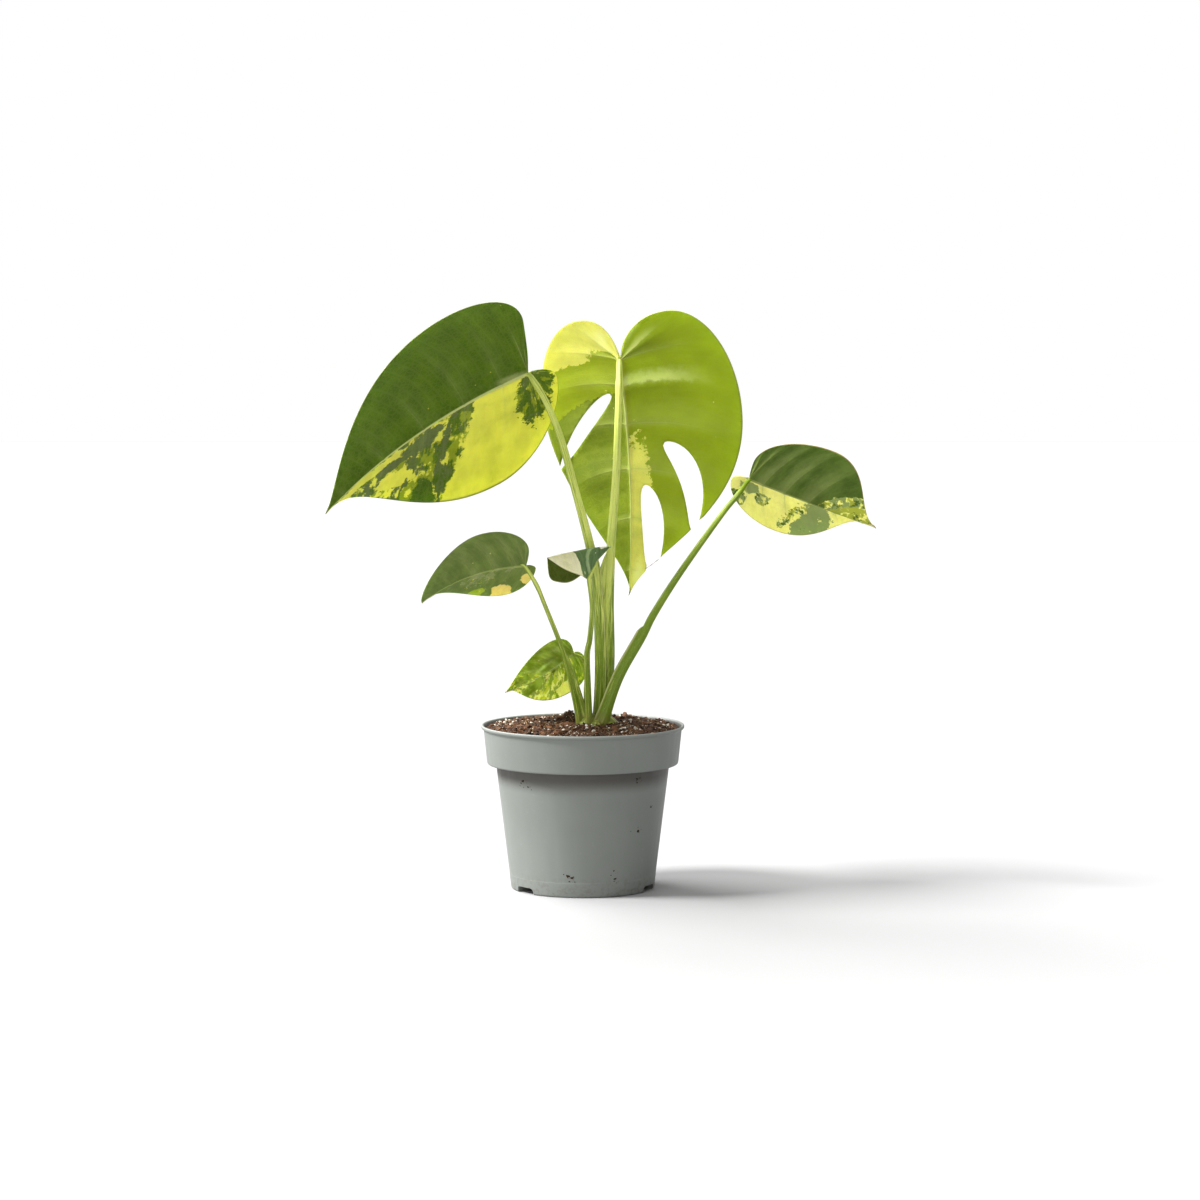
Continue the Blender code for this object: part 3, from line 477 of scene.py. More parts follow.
def closed_sheet(name, upper, under, faces, merged, maps):
    """A thin closed piece from its upper and under faces, which share their triangles. merged numbers the points
    so that those in one place are one. The rim joins the two along each edge that only one triangle has."""
    corners = merged[faces]
    real = (corners[:, 0] != corners[:, 1]) & (corners[:, 1] != corners[:, 2]) & (corners[:, 2] != corners[:, 0])
    faces, corners = faces[real], corners[real]
    count = merged.max() + 1
    first = np.zeros(count, int)
    first[merged] = np.arange(len(merged))
    pairs = np.concatenate([np.stack([corners[:, k], corners[:, (k + 1) % 3]], -1) for k in range(3)])
    ends = np.concatenate([np.stack([faces[:, k], faces[:, (k + 1) % 3]], -1) for k in range(3)])
    code = pairs[:, 0] * count + pairs[:, 1]
    lone = ~np.isin(code, pairs[:, 1] * count + pairs[:, 0])
    i, j = pairs[lone].T
    i_at, j_at = ends[lone].T
    rim = np.concatenate([np.stack([j, i, i + count], -1), np.stack([j, i + count, j + count], -1)])
    rim_at = np.concatenate([np.stack([j_at, i_at, i_at], -1), np.stack([j_at, i_at, j_at], -1)])
    every = np.concatenate([corners, corners[:, ::-1] + count, rim])
    source = np.concatenate([faces, faces[:, ::-1], rim_at])
    used, small = np.unique(every, return_inverse=True)
    points = np.vstack([upper[first], under[first]])[used]
    kind = np.concatenate([np.zeros(len(faces)), np.ones(len(faces) + len(rim))])
    obj = add_mesh(name, points * MM, small.reshape(-1, 3), kind)
    for map_name, values in maps.items():
        corner_map(obj, map_name, values[source].reshape(-1, 2))
    return obj


def blade(name, joint, pose, length, arch, left, right, rib, rib_depth, veins=8, lobe_share=0.33, rows=40, per_vein=14, slots=(), seed=1, pleat=1.0):
    """A whole blade from its two halves. The upper face has grooves over the midrib and veins, the under face has
    them as ridges, and between the veins the sheet swells a little."""
    upper, under, faces, flats, veins_at, ribs_at, first = [], [], [], [], [], [], 0
    for side, way in ((left, 1), (right, -1)):
        flat, w, t = vein_grid(side, length, veins, per_vein, rows, lobe_share)
        apart = vein_distance(flat, w, t, veins)
        phase = w * veins - 0.5
        off = np.abs(flat[..., 1])
        taper = np.clip(1 - 0.8 * flat[..., 0] / length, 0.15, 1)
        rib_shape = np.exp(-1.2 * (off / (rib * taper)) ** 2) * np.clip(1 + flat[..., 0] / 3, 0, 1)
        swell = 0.5 * (1 - np.cos(math.tau * phase)) * np.sin(math.pi * np.clip(t, 0, 1)) ** 0.8
        ripple = np.sin(math.tau * (1.6 * w + 0.13 * seed) + way) * t**2
        base = length / 150 * (0.55 * pleat * swell + 0.7 * ripple)
        groove = 0.16 * np.exp(-((apart / 0.9) ** 2)) * (1 - 0.7 * t) + 0.45 * rib_shape * taper
        ridge = 0.30 * np.exp(-((apart / (0.75 - 0.35 * t)) ** 2)) * (1 - 0.8 * t) + (rib_depth - 0.5) * rib_shape * taper
        thick = 0.55 - 0.2 * t**4
        flat = flat * (1, way)
        shape = (length, arch, side[7], side[8], side[3])
        upper.append(raise_blade(flat, base - groove, *shape).reshape(-1, 3))
        under.append(raise_blade(flat, base - thick - ridge, *shape).reshape(-1, 3))
        faces.append(grid_triangles(*flat.shape[:2], first, way < 0))
        flats.append(flat.reshape(-1, 2))
        veins_at.append(np.stack([w * way, t], -1).reshape(-1, 2))
        ribs_at.append(np.stack([apart, off / taper + 9 * (flat[..., 0] < -2)], -1).reshape(-1, 2))
        first += flat.shape[0] * flat.shape[1]
    flats, faces = np.vstack(flats), np.vstack(faces)
    axes = blade_axes(*pose)
    upper = np.vstack(upper) @ axes + joint
    under = np.vstack(under) @ axes + joint
    merged = np.unique(np.round(flats * 1000).astype(int), axis=0, return_inverse=True)[1].ravel()
    for slot in slots:
        outline = slot_outline(slot)
        gone = inside(flats[faces].mean(axis=1), outline)
        touched = np.intersect1d(merged[faces[gone]], merged[faces[~gone]])
        at = np.flatnonzero(np.isin(merged, touched))
        near = nearest_on(flats[at], outline)
        # The points along the cut slide onto the outline, by the local slope of the sheet.
        moved = near - flats[at]
        slope = (faces[~gone], flats, upper, under)
        upper[at] += slide(at, moved, *slope[:2], slope[2])
        under[at] += slide(at, moved, *slope[:2], slope[3])
        flats[at] = near
        faces = faces[~gone]
    maps = {"flat": flats / 10, "vein": np.vstack(veins_at), "ribs": np.vstack(ribs_at)}
    return closed_sheet(name, upper, under, faces, merged, maps)


def slide(at, moved, faces, flats, points):
    """How points in space shift when their flat places move: by the linear map of a triangle that each belongs to."""
    owner = np.zeros(len(flats), int)
    owner[faces[:, 0]] = np.arange(len(faces))
    owner[faces[:, 1]] = np.arange(len(faces))
    owner[faces[:, 2]] = np.arange(len(faces))
    corner = faces[owner[at]]
    flat_sides = np.stack([flats[corner[:, 1]] - flats[corner[:, 0]], flats[corner[:, 2]] - flats[corner[:, 0]]], -1)
    sides = np.stack([points[corner[:, 1]] - points[corner[:, 0]], points[corner[:, 2]] - points[corner[:, 0]]], -1)
    share = np.linalg.solve(flat_sides + 1e-9 * np.eye(2), moved[..., None])
    return (sides @ share)[..., 0]


def finish_blade(obj, number):
    """Gives a blade its place in the object."""
    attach(obj, "root")
    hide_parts(f"leaf{number}_blade")


def new_group(name, inputs, outputs):
    """An empty node group with named sockets, each given as its name and kind. Returns the group, the sockets that
    bring its inputs in and the sockets that its results go to."""
    made = bpy.data.node_groups.new(name, "ShaderNodeTree")
    for way, sockets in (("INPUT", inputs), ("OUTPUT", outputs)):
        for label, kind in sockets:
            made.interface.new_socket(name=label, in_out=way, socket_type="NodeSocket" + kind)
    return made, made.nodes.new("NodeGroupInput").outputs, made.nodes.new("NodeGroupOutput").inputs


# The tissue of a variegated leaf. Two layers of it, a deep one and one near the surface, are each either green or
# without any green, in patches that run along the veins. Where neither is green the leaf is yellow, and where only
# one is, it is lime or grey green. Share says how much of each layer lacks its green.
TONES = ("Dark", "Light", "Grey", "Lime", "Yellow", "Rib", "Margin")
tissue, given, result = new_group(
    "leaf_tissue",
    [("Flat", "Vector"), ("Vein", "Vector"), ("Ribs", "Vector"), ("Share", "Color"), ("Mottle", "Float"),
     ("Streaky", "Float"), ("Rib width", "Float"), ("Rib share", "Float"), ("Roughness", "Float"), *((tone, "Color") for tone in TONES)],
    [("Colour", "Color"), ("Gloss", "Float"), ("Height", "Float")],
)
flat = given["Flat"]
w, t = halves(tissue, given["Vein"])
apart, off = halves(tissue, given["Ribs"])
deep, surface_layer = node(tissue, "SeparateColor", {0: given["Share"]}).outputs[:2]
patchy = node(tissue, "TexNoise", {"Vector": flat, "Scale": given["Mottle"], "Detail": 6.0, "Roughness": 0.66})
patchy = node(tissue, "SeparateColor", {0: patchy.outputs["Color"]}).outputs
lanes = node(tissue, "CombineXYZ", {0: reckon(tissue, "MULTIPLY", w, 30.0), 1: reckon(tissue, "MULTIPLY", t, 3.0)})
streaky = node(tissue, "TexNoise", {"Vector": lanes.outputs[0], "Scale": 1.0, "Detail": 5.0, "Roughness": 0.62})
streaky = node(tissue, "SeparateColor", {0: streaky.outputs["Color"]}).outputs
bare = []
for share, index in ((deep, 0), (surface_layer, 1)):
    mottle = node(tissue, "Mix", {0: given["Streaky"], 2: patchy[index], 3: streaky[index]}).outputs[0]
    even = node(tissue, "MapRange", {"Value": mottle, "From Min": 0.36, "From Max": 0.64}).outputs["Result"]
    excess = reckon(tissue, "SUBTRACT", reckon(tissue, "MULTIPLY_ADD", share, 1.3, -0.15), even)
    bare.append(ease(tissue, excess, -0.05, 0.05))
cloudy = grain(tissue, flat, 0.55, 3)
fine = grain(tissue, flat, 22.0, 3, 0.6)
swept = reckon(tissue, "MULTIPLY_ADD", cloudy, 0.4, reckon(tissue, "MULTIPLY", streaky[2], 0.6))
green = blend(tissue, ease(tissue, swept, 0.38, 0.64), given["Dark"], given["Light"])
yellow = blend(tissue, ease(tissue, patchy[2], 0.45, 0.75, 0.0, 0.22), given["Yellow"], given["Lime"])
one = blend(tissue, bare[0], green, given["Lime"])
other = blend(tissue, bare[0], given["Grey"], yellow)
colour = blend(tissue, bare[1], one, other)
# Fine veins side by side between the ribs, and a net of finer ones.
fibres = reckon(tissue, "SINE", reckon(tissue, "MULTIPLY", w, 8 * 5 * math.tau))
fibres = reckon(tissue, "MULTIPLY", ease(tissue, fibres, 0.45, 1.0), ease(tissue, t, 0.02, 0.2))
nets = []
for scale in (3.3, 8.5):
    cells = node(tissue, "TexVoronoi", {"Vector": flat, "Scale": scale}, feature="DISTANCE_TO_EDGE")
    nets.append(ease(tissue, cells.outputs["Distance"], 0.02, 0.14, 1.0, 0.0))
net = reckon(tissue, "MULTIPLY_ADD", nets[0], 0.7, reckon(tissue, "MULTIPLY", nets[1], 0.3))
lines = reckon(tissue, "MAXIMUM", reckon(tissue, "MULTIPLY", fibres, 0.8), net)
colour = blend(tissue, reckon(tissue, "MULTIPLY", lines, 0.07), colour, given["Rib"])
colour = blend(tissue, ease(tissue, fine, 0.35, 0.75, 0.0, 0.10), colour, given["Dark"])
side_rib = reckon(tissue, "MAXIMUM", ease(tissue, apart, 0.1, 0.7, 1.0, 0.0), ease(tissue, apart, 0.5, 4.0, 0.4, 0.0))
side_rib = reckon(tissue, "MULTIPLY", side_rib, reckon(tissue, "MULTIPLY", ease(tissue, t, 0.9, 0.05), given["Rib share"]))
middle_rib = ease(tissue, reckon(tissue, "DIVIDE", off, given["Rib width"]), 0.55, 1.1, 0.9, 0.0)
colour = blend(tissue, reckon(tissue, "MAXIMUM", side_rib, middle_rib), colour, given["Rib"])
# Slow changes of tone over the whole blade, along the veins and across them.
drift = reckon(tissue, "MULTIPLY_ADD", streaky[2], 0.5, reckon(tissue, "MULTIPLY", cloudy, 0.7))
colour = blend(tissue, 1.0, colour, ease(tissue, drift, 0.42, 0.78, 0.92, 1.08), "MULTIPLY")
# Pale dots scattered over the blade, and the thin dry margin.
dots = node(tissue, "TexVoronoi", {"Vector": flat, "Scale": 0.9}).outputs
chosen = node(tissue, "SeparateColor", {0: dots["Color"]}).outputs[0]
dotted = reckon(tissue, "MULTIPLY", ease(tissue, dots["Distance"], 0.03, 0.055, 0.8, 0.0), ease(tissue, chosen, 0.70, 0.72))
colour = blend(tissue, dotted, colour, given["Yellow"])
colour = blend(tissue, ease(tissue, t, 0.978, 0.996, 0.0, 0.65), colour, given["Margin"])
tissue.links.new(colour, result["Colour"])
tissue.links.new(reckon(tissue, "MULTIPLY_ADD", cloudy, 0.22, reckon(tissue, "SUBTRACT", given["Roughness"], 0.11)), result["Gloss"])
tissue.links.new(reckon(tissue, "MULTIPLY_ADD", fine, 0.35, reckon(tissue, "MULTIPLY", lines, 0.65)), result["Height"])


def from_oval(tree, flat, along, across, half_length, half_width, turned_by):
    """How far each place on a flat blade is from the middle of an oval, as 1 on its outline. Millimetres, degrees."""
    inputs = {
        "Vector": flat,
        "Location": (along / 10, across / 10, 0),
        "Rotation": (0, 0, math.radians(turned_by)),
        "Scale": (half_length / 10, half_width / 10, 1),
    }
    local = node(tree, "Mapping", inputs, vector_type="TEXTURE").outputs["Vector"]
    return node(tree, "VectorMath", {0: local}, operation="LENGTH").outputs["Value"]


def leaf_skin(name, marks, tones, roughness, gloss, deeper):
    """The material of one face of a blade. marks holds the sectors, each from a signed place among the veins with the
    bare shares of its two layers, the patches, ragged ovals with shares of their own that end at the midrib, and the
    soft ovals where the sheet is creased, painted paler as a painted highlight, or darker as painted shade where
    their last number is negative. The bands are such painted highlight and shade along the veins of one half, each
    from its start over its peak to its end among them, and fading out at the share until of the way to the edge."""
    made, tree, surface = new_material(name, roughness, Subsurface_Weight=0.9, Subsurface_Scale=MM, Specular_IOR_Level=gloss)
    surface.inputs["Subsurface Radius"].default_value = (0.9, 1.1, 0.5)
    flat, vein, ribs = (node(tree, "UVMap", uv_map=key).outputs["UV"] for key in ("flat", "vein", "ribs"))
    ragged = grain(tree, flat, 2.4, 6, 0.7)
    w, t = halves(tree, vein)
    # The sectors lean forward: towards the midrib each place counts as 14% further on.
    leaning = reckon(tree, "MULTIPLY", w, reckon(tree, "MULTIPLY_ADD", t, -0.14, 1.14))
    place = reckon(tree, "MULTIPLY_ADD", leaning, 0.5, reckon(tree, "MULTIPLY_ADD", ragged, 0.03, 0.485))
    ramp = node(tree, "ValToRGB", {0: place})
    ramp.color_ramp.interpolation = "CONSTANT"
    steps = ramp.color_ramp.elements
    for index, (start, deep, surface_layer) in enumerate(marks["sectors"]):
        step = steps[index] if index < 1 else steps.new((start + 1) / 2)
        step.position = (start + 1) / 2
        step.color = (deep, surface_layer, 0, 1)
    steps.remove(steps[len(steps) - 1])
    share = ramp.outputs["Color"]
    for *oval, deep, surface_layer in marks["patches"]:
        reach = reckon(tree, "MULTIPLY_ADD", ragged, 1.6, reckon(tree, "SUBTRACT", from_oval(tree, flat, *oval), 0.8))
        same_half = reckon(tree, "GREATER_THAN", reckon(tree, "MULTIPLY", w, math.copysign(1, oval[1])), 0.0)
        shown = reckon(tree, "MULTIPLY", ease(tree, reach, 1.04, 0.96), same_half)
        share = blend(tree, shown, share, (deep, surface_layer, 0, 1))
    inputs = {"Flat": flat, "Vein": vein, "Ribs": ribs, "Share": share, "Mottle": marks["mottle"], "Streaky": marks["streaky"],
              "Rib width": marks["rib"], "Rib share": marks["rib_share"], "Roughness": roughness}
    for tone, (red, green, blue) in zip(TONES, tones):
        shade = deeper if tone in ("Dark", "Light") else 1.0
        inputs[tone] = (red * shade, green * shade, blue * shade, 1)
    skin = node(tree, "Group", inputs, node_tree=tissue).outputs
    colour = skin["Colour"]
    # Soft ovals of painted highlight in pale yellow green, and of painted shade in near black green, where light falls
    # on creases.
    shown = []
    for *oval, strength in marks.get("painted_sheen_and_shade", ()):
        reach = reckon(tree, "MULTIPLY_ADD", ragged, 0.8, reckon(tree, "SUBTRACT", from_oval(tree, flat, *oval), 0.4))
        shown.append((ease(tree, reach, 1.0, 0.0, 0.0, abs(strength)), strength))
    # Bands of painted highlight and painted shade along the veins of one half, where light falls on the folds.
    for half, start, peak, end, until, strength in marks.get("painted_fold_shading", ()):
        beside = reckon(tree, "MULTIPLY_ADD", w, half, reckon(tree, "MULTIPLY_ADD", ragged, 0.04, -0.02))
        share = reckon(tree, "MULTIPLY", ease(tree, beside, start, peak), ease(tree, beside, end, peak))
        shown.append((reckon(tree, "MULTIPLY", share, ease(tree, t, until, 0.3 * until, 0.0, abs(strength))), strength))
    # The painted highlights and painted shade are laid over the colour of the tissue here.
    for share, strength in shown:
        colour = blend(tree, share, colour, (0.90, 0.93, 0.40, 1) if strength > 0 else (0.02, 0.05, 0.0, 1))
    tree.links.new(colour, surface.inputs["Base Color"])
    tree.links.new(skin["Gloss"], surface.inputs["Roughness"])
    relief(tree, surface, skin["Height"], 0.10)
    return made


def painted_pleat_shading(half, ribs, strength):
    """Painted shading along some of the ribs of one half, where light falls on their folds: a painted highlight before
    each rib and painted shade after it.
    """
    places = [(rib + 0.5) / 8 for rib in ribs]
    pale = [(half, at - 0.085, at - 0.015, at + 0.012, 1.3, strength) for at in places]
    return (*pale, *((half, at + 0.005, at + 0.03, at + 0.09, 1.3, -strength) for at in places))


# Each leaf's variegation, and after its patches the painted highlights and painted shade on its creases and folds.
MARKS = {
    1: dict(mottle=0.85, streaky=0.5, rib=1.5, rib_share=0.13, sectors=((-1, 0.48, 0.5), (-0.605, 1, 1), (0, 0, 0)),
            patches=((116, -5, 30, 3.5, 2, 1, 0.8), (-3, -20, 12, 27, 8, 0.42, 0.42), (82, -56, 9, 14, 20, 0.05, 0.1),
                     (72, -11, 16, 6, -12, 0.05, 0.9), (96, -13, 12, 4, 10, 0.1, 0.95), (95, -27, 16, 6, 28, 0.8, 0.75)),
            painted_sheen_and_shade=((10, 2, 16, 3.0, 5, 0.30),), painted_fold_shading=((1, 0.17, 0.19, 0.205, 0.6, 0.12), (1, 0.30, 0.315, 0.33, 0.6, 0.12), *painted_pleat_shading(1, (3, 4, 5, 6), 0.016), *painted_pleat_shading(-1, (3, 4), 0.03))),
    2: dict(mottle=0.9, streaky=0.35, rib=0.9, rib_share=0.50,
            sectors=((-1, 0.97, 0), (0, 1, 1), (0.39, 0.97, 0.05), (0.53, 0.12, 0)),
            patches=((101, -3, 51, 9.5, 1, 1, 1), (4, 9, 8, 13, 10, 0.95, 0.1)),
            painted_sheen_and_shade=((-19, -9, 14, 5, 40, 0.40), (-13, 11, 11, 5, -31, 0.60), (134, -4, 16, 5, 8, 0.85)),
            painted_fold_shading=((-1, 0.12, 0.18, 0.20, 0.8, 0.50), (-1, 0.20, 0.24, 0.38, 0.75, -0.42), (-1, 0.385, 0.432, 0.447, 0.85, 0.55),
                     (-1, 0.445, 0.46, 0.54, 0.8, -0.22), (1, 0.12, 0.18, 0.20, 1.0, 0.45), *painted_pleat_shading(-1, (4, 5, 6), 0.07), *painted_pleat_shading(1, (2, 3, 4, 5), 0.05))),
    3: dict(mottle=2.0, streaky=0.35, rib=1.0, rib_share=0.45,
            sectors=((-1, 0.6, 0.5), (-0.95, 0.85, 0.3), (-0.90, 0.45, 0.55), (-0.83, 0, 0), (0, 1, 1)),
            patches=((42, 15, 11, 17, 20, 0.2, 0.85), (2, 8, 6, 5, 0, 0.05, 0.95), (11, 14, 5, 5, 0, 0.45, 0.6),
                     (31, 17, 4, 14, 30, 0.55, 0.55), (-5, 19, 7, 6, 0, 0.4, 0.5)),
            painted_fold_shading=painted_pleat_shading(-1, (1, 2, 3, 4, 5), 0.085)),
    4: dict(mottle=2.4, streaky=0.4, rib=1.0, rib_share=0.22, sectors=((-1, 0, 0), (-0.7, 0.22, 0.25), (-0.02, 0, 0)),
            patches=((13, -22, 6, 6, 20, 1, 1), (-2, -13, 3.5, 4.5, 0, 1, 1), (24, -5, 16, 5, -8, 0.25, 0.5),
                     (29, -18.5, 7, 3, -8, 0.7, 0.4)), painted_fold_shading=painted_pleat_shading(1, (1, 2, 3, 4, 5), 0.07)),
    6: dict(mottle=2.2, streaky=0.8, rib=0.9, rib_share=0.30, sectors=((-1, 0.53, 0.53), (-0.45, 0.3, 0.3), (-0.1, 0, 0), (0.8, 0.4, 0.3)),
            patches=((13, -21, 6, 5, 0, 0.9, 0.9), (30, -6, 9, 4, -20, 0.1, 0.1)),
            painted_sheen_and_shade=((21, 5, 9, 2.8, -10, 0.60), (9, 12, 8, 3, 35, 0.30), (30, 8, 8, 2, 20, 0.25), (14, 8, 9, 2, 25, -0.35), (20, 19, 16, 3, 0, -0.30),
                    (22, -7, 9, 1.5, -30, -0.4), (16, -3, 8, 1.5, 0, -0.4)),
            painted_fold_shading=painted_pleat_shading(1, (1, 2, 3, 4), 0.12)),
    5: dict(mottle=2.0, streaky=0.4, rib=1.1, rib_share=0.25, sectors=((-1, 1, 0), (0, 1, 1), (0.44, 0, 0)),
            patches=((39, 5, 4.5, 3.0, -20, 1, 1), (9, 0.5, 3, 1.5, 0, 0, 0))),
}
# The tones of each leaf: dark and light green, grey green, lime, yellow, its ribs and its margin.
LEAF_TONES = {
    1: ((0.076, 0.142, 0.002), (0.100, 0.174, 0.004), (0.12, 0.16, 0.040), (0.30, 0.34, 0.010), (0.71, 0.65, 0.095), (0.62, 0.66, 0.24), (0.14, 0.16, 0.04)),
    2: ((0.170, 0.235, 0.008), (0.215, 0.275, 0.014), (0.19, 0.24, 0.040), (0.355, 0.425, 0.012), (0.80, 0.76, 0.190), (0.52, 0.56, 0.18), (0.30, 0.32, 0.08)),
    3: ((0.085, 0.140, 0.018), (0.125, 0.185, 0.032), (0.31, 0.38, 0.125), (0.46, 0.48, 0.060), (1.00, 0.94, 0.29), (0.27, 0.32, 0.09), (0.42, 0.27, 0.15)),
    4: ((0.150, 0.212, 0.050), (0.200, 0.268, 0.068), (0.28, 0.32, 0.130), (0.40, 0.46, 0.040), (0.88, 0.70, 0.24), (0.38, 0.44, 0.14), (0.18, 0.20, 0.09)),
    5: ((0.085, 0.175, 0.045), (0.150, 0.260, 0.070), (0.20, 0.28, 0.140), (0.085, 0.105, 0.006), (1.00, 0.97, 0.60), (0.36, 0.48, 0.22), (0.40, 0.38, 0.20)),
    6: ((0.285, 0.375, 0.016), (0.500, 0.560, 0.090), (0.46, 0.50, 0.130), (0.70, 0.71, 0.110), (1.00, 0.95, 0.46), (0.56, 0.64, 0.22), (0.24, 0.26, 0.08)),
}


def leaf_skins(number):
    """The two materials of a blade, waxy above and duller below."""
    above = leaf_skin(f"leaf{number}_above", MARKS[number], LEAF_TONES[number], 0.36, 0.40, 0.85)
    below = leaf_skin(f"leaf{number}_below", MARKS[number], LEAF_TONES[number], 0.50, 0.08, 1.0)
    return above, below


LEAVES = {
    1: dict(joint=(-32.0, -22.0, 304.8), pose=(205.0, -32.0, 50.0), length=150, arch=28,
            left=(4, 40, 42, 81, 0.54, 15, 3, 12, -26), right=(18, 19, 32, 78, 0.54, 33, -2, 8, -24), rib=2.4, rib_depth=1.7),
    2: dict(joint=(22.1, 10.0, 311.7), pose=(78.0, -79.0, 12.0), length=146, arch=28,
            left=(24, 18, 34, 57, 0.51, 22, -3, 7, -5), right=(26, 31, 38, 68.5, 0.58, 27.5, 6, 28, -13), rib=2.2, rib_depth=2.4,
            slots=((1, (23.5, 9.5), (44, 28.5), (71, 47), 4.2, 0.8), (-1, (55, 20.5), (75, 35), (106, 36.5), 6.3, 0.8),
                   (-1, (79.5, 8), (100, 12.5), (127, 12.5), 5.0, 3.0)), per_vein=20, rows=60, pleat=2.2),
    3: dict(joint=(98.2, 5.0, 242.1), pose=(-5.7, -21.0, -49.5), length=80, arch=-2,
            left=(10, 7, 23, 32, 0.64, 22, -8.5, 12, -29), right=(1, 11.5, 40.5, 39, 0.68, 15, 5.5, 2, 19), rib=1.6, rib_depth=1.8, pleat=3.2),
    4: dict(joint=(-33.4, -18.0, 192.7), pose=(204.7, -17.0, 46.0), length=70, arch=43,
            left=(1.5, 10, 30, 30, 0.47, -1, 5.3, 12.5, -8.5), right=(6.5, 4, 12.5, 25.5, 0.4, 13, -7, 4.5, -13), rib=1.4, rib_depth=1.6),
    6: dict(joint=(-6.0, 10.0, 138.4), pose=(192.5, -29.0, 42.5), length=47, arch=-21,
            left=(1, 6.3, 14, 22, 0.5, 3.5, 1.2, 7, 1), right=(5.5, 10.5, 7, 25.5, 0.83, 8.7, -5, -7, -16), rib=1.2, rib_depth=1.4, pleat=4.0),
}
for number, shape in LEAVES.items():
    made = blade(f"blade_{number}", seed=number, **shape)
    for skin in leaf_skins(number):
        made.data.materials.append(skin)
    finish_blade(made, number)


# A dried thread, left where the slot tore open, still spans the mouth of the third slot of leaf 2.
shape = LEAVES[2]
steps = np.linspace(0, 1, 24)
flat = np.stack([129.8 - 6.5 * steps, -8.2 - 8.6 * steps], -1)
side = shape["right"]
line = raise_blade(flat, -0.4 - 1.3 * np.sin(math.pi * steps), shape["length"], shape["arch"], side[7], side[8], side[3])
line = line @ blade_axes(*shape["pose"]) + np.array(shape["joint"])
ring = np.linspace(0, math.tau, 8, endpoint=False)
ring = np.stack([0 * ring, np.cos(ring), np.sin(ring)], -1) + np.stack([np.cos(ring), 0 * ring, 0 * ring], -1)
points = line[:, None] + 0.17 * (1 + 0.4 * np.sin(17 * steps))[:, None, None] * ring[None]
k = np.arange(24 * 8).reshape(24, 8)
after = np.roll(k, -1, axis=1)
quads = np.stack([k[:-1], after[:-1], after[1:], k[1:]], -1).reshape(-1, 4).tolist()
thread = add_mesh("slot_thread", points.reshape(-1, 3) * MM, [*quads, k[0, ::-1].tolist(), k[-1].tolist()])
thread_material, tree, surface = new_material("dried_thread", 0.7)
dry = ease(tree, grain(tree, node(tree, "TexCoord").outputs["Object"], 900, 3), 0.35, 0.65)
tree.links.new(blend(tree, dry, (0.34, 0.27, 0.20, 1), (0.52, 0.45, 0.36, 1)), surface.inputs["Base Color"])
thread.data.materials.append(thread_material)
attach(thread, "root")


# The fifth leaf is young and still half rolled: a thin sheet laid over three curves, its near edge, the crest
# that it bends over and its far edge, which meet at its lobe and at its tip.
def through(points, count):
    """A smooth curve through the points, a Catmull-Rom spline, as count points evenly spread over its spans."""
    points = np.array(points, float)
    ends = np.vstack([2 * points[0] - points[1], points, 2 * points[-1] - points[-2]])
    place = np.linspace(0, len(points) - 1, count)
    span = np.minimum(place.astype(int), len(points) - 2)
    t = (place - span)[:, None]
    p0, p1, p2, p3 = (ends[span + k] for k in range(4))
    square = 2 * p0 - 5 * p1 + 4 * p2 - p3
    cube = 3 * p1 - p0 - 3 * p2 + p3
    return 0.5 * (2 * p1 + (p2 - p0) * t + square * t**2 + cube * t**3)


def grid_normals(grid):
    """The normal at each point of a grid in space, square to the grid's two directions there."""
    down, across = np.gradient(grid, axis=0), np.gradient(grid, axis=1)
    normal = np.cross(down, across)
    size = np.linalg.norm(normal, axis=-1)[..., None]
    normal = normal / np.maximum(size, 1e-9)
    blank = size[..., 0] < 1e-6
    normal[blank] = 0
    return normal


lobe = (-20.8, -14.0, 196.6)
tip = (16.9, -9.0, 203.3)
near = through((lobe, (-11.0, -20.0, 190.7), (-0.9, -21.0, 186.7), (3.8, -21.0, 185.2), (8.7, -16.0, 195.3), tip), 90)
crest = through((lobe, (-11.4, -12.0, 198.8), (-3.0, -11.0, 200.5), (6.5, -10.0, 202.5), tip), 90)
far = through((lobe, (-19.4, -12.0, 185.0), (-14.4, -10.0, 181.9), (-7.7, -8.0, 181.7), (-0.9, -8.0, 185.7), (9.0, -8.0, 194.7), tip), 90)
t = np.linspace(0, 1, 41)[None, :, None]
handle = 2 * crest - (near + far) / 2
sheet = (1 - t) ** 2 * near[:, None] + 2 * (1 - t) * t * handle[:, None] + t**2 * far[:, None]
normal = grid_normals(sheet)
normal = normal * np.sign(normal[..., 2].sum())
along, across = np.meshgrid(np.linspace(0, 1, 90), np.linspace(0, 1, 41), indexing="ij")
merged = np.unique(np.round(sheet.reshape(-1, 3) * 200).astype(int), axis=0, return_inverse=True)[1].ravel()
flat = np.stack([4.2 * along, 2.8 * (0.5 - across)], -1).reshape(-1, 2)
vein = np.stack([along * np.where(across < 0.5, 1, -1), np.abs(2 * across - 1)], -1).reshape(-1, 2)
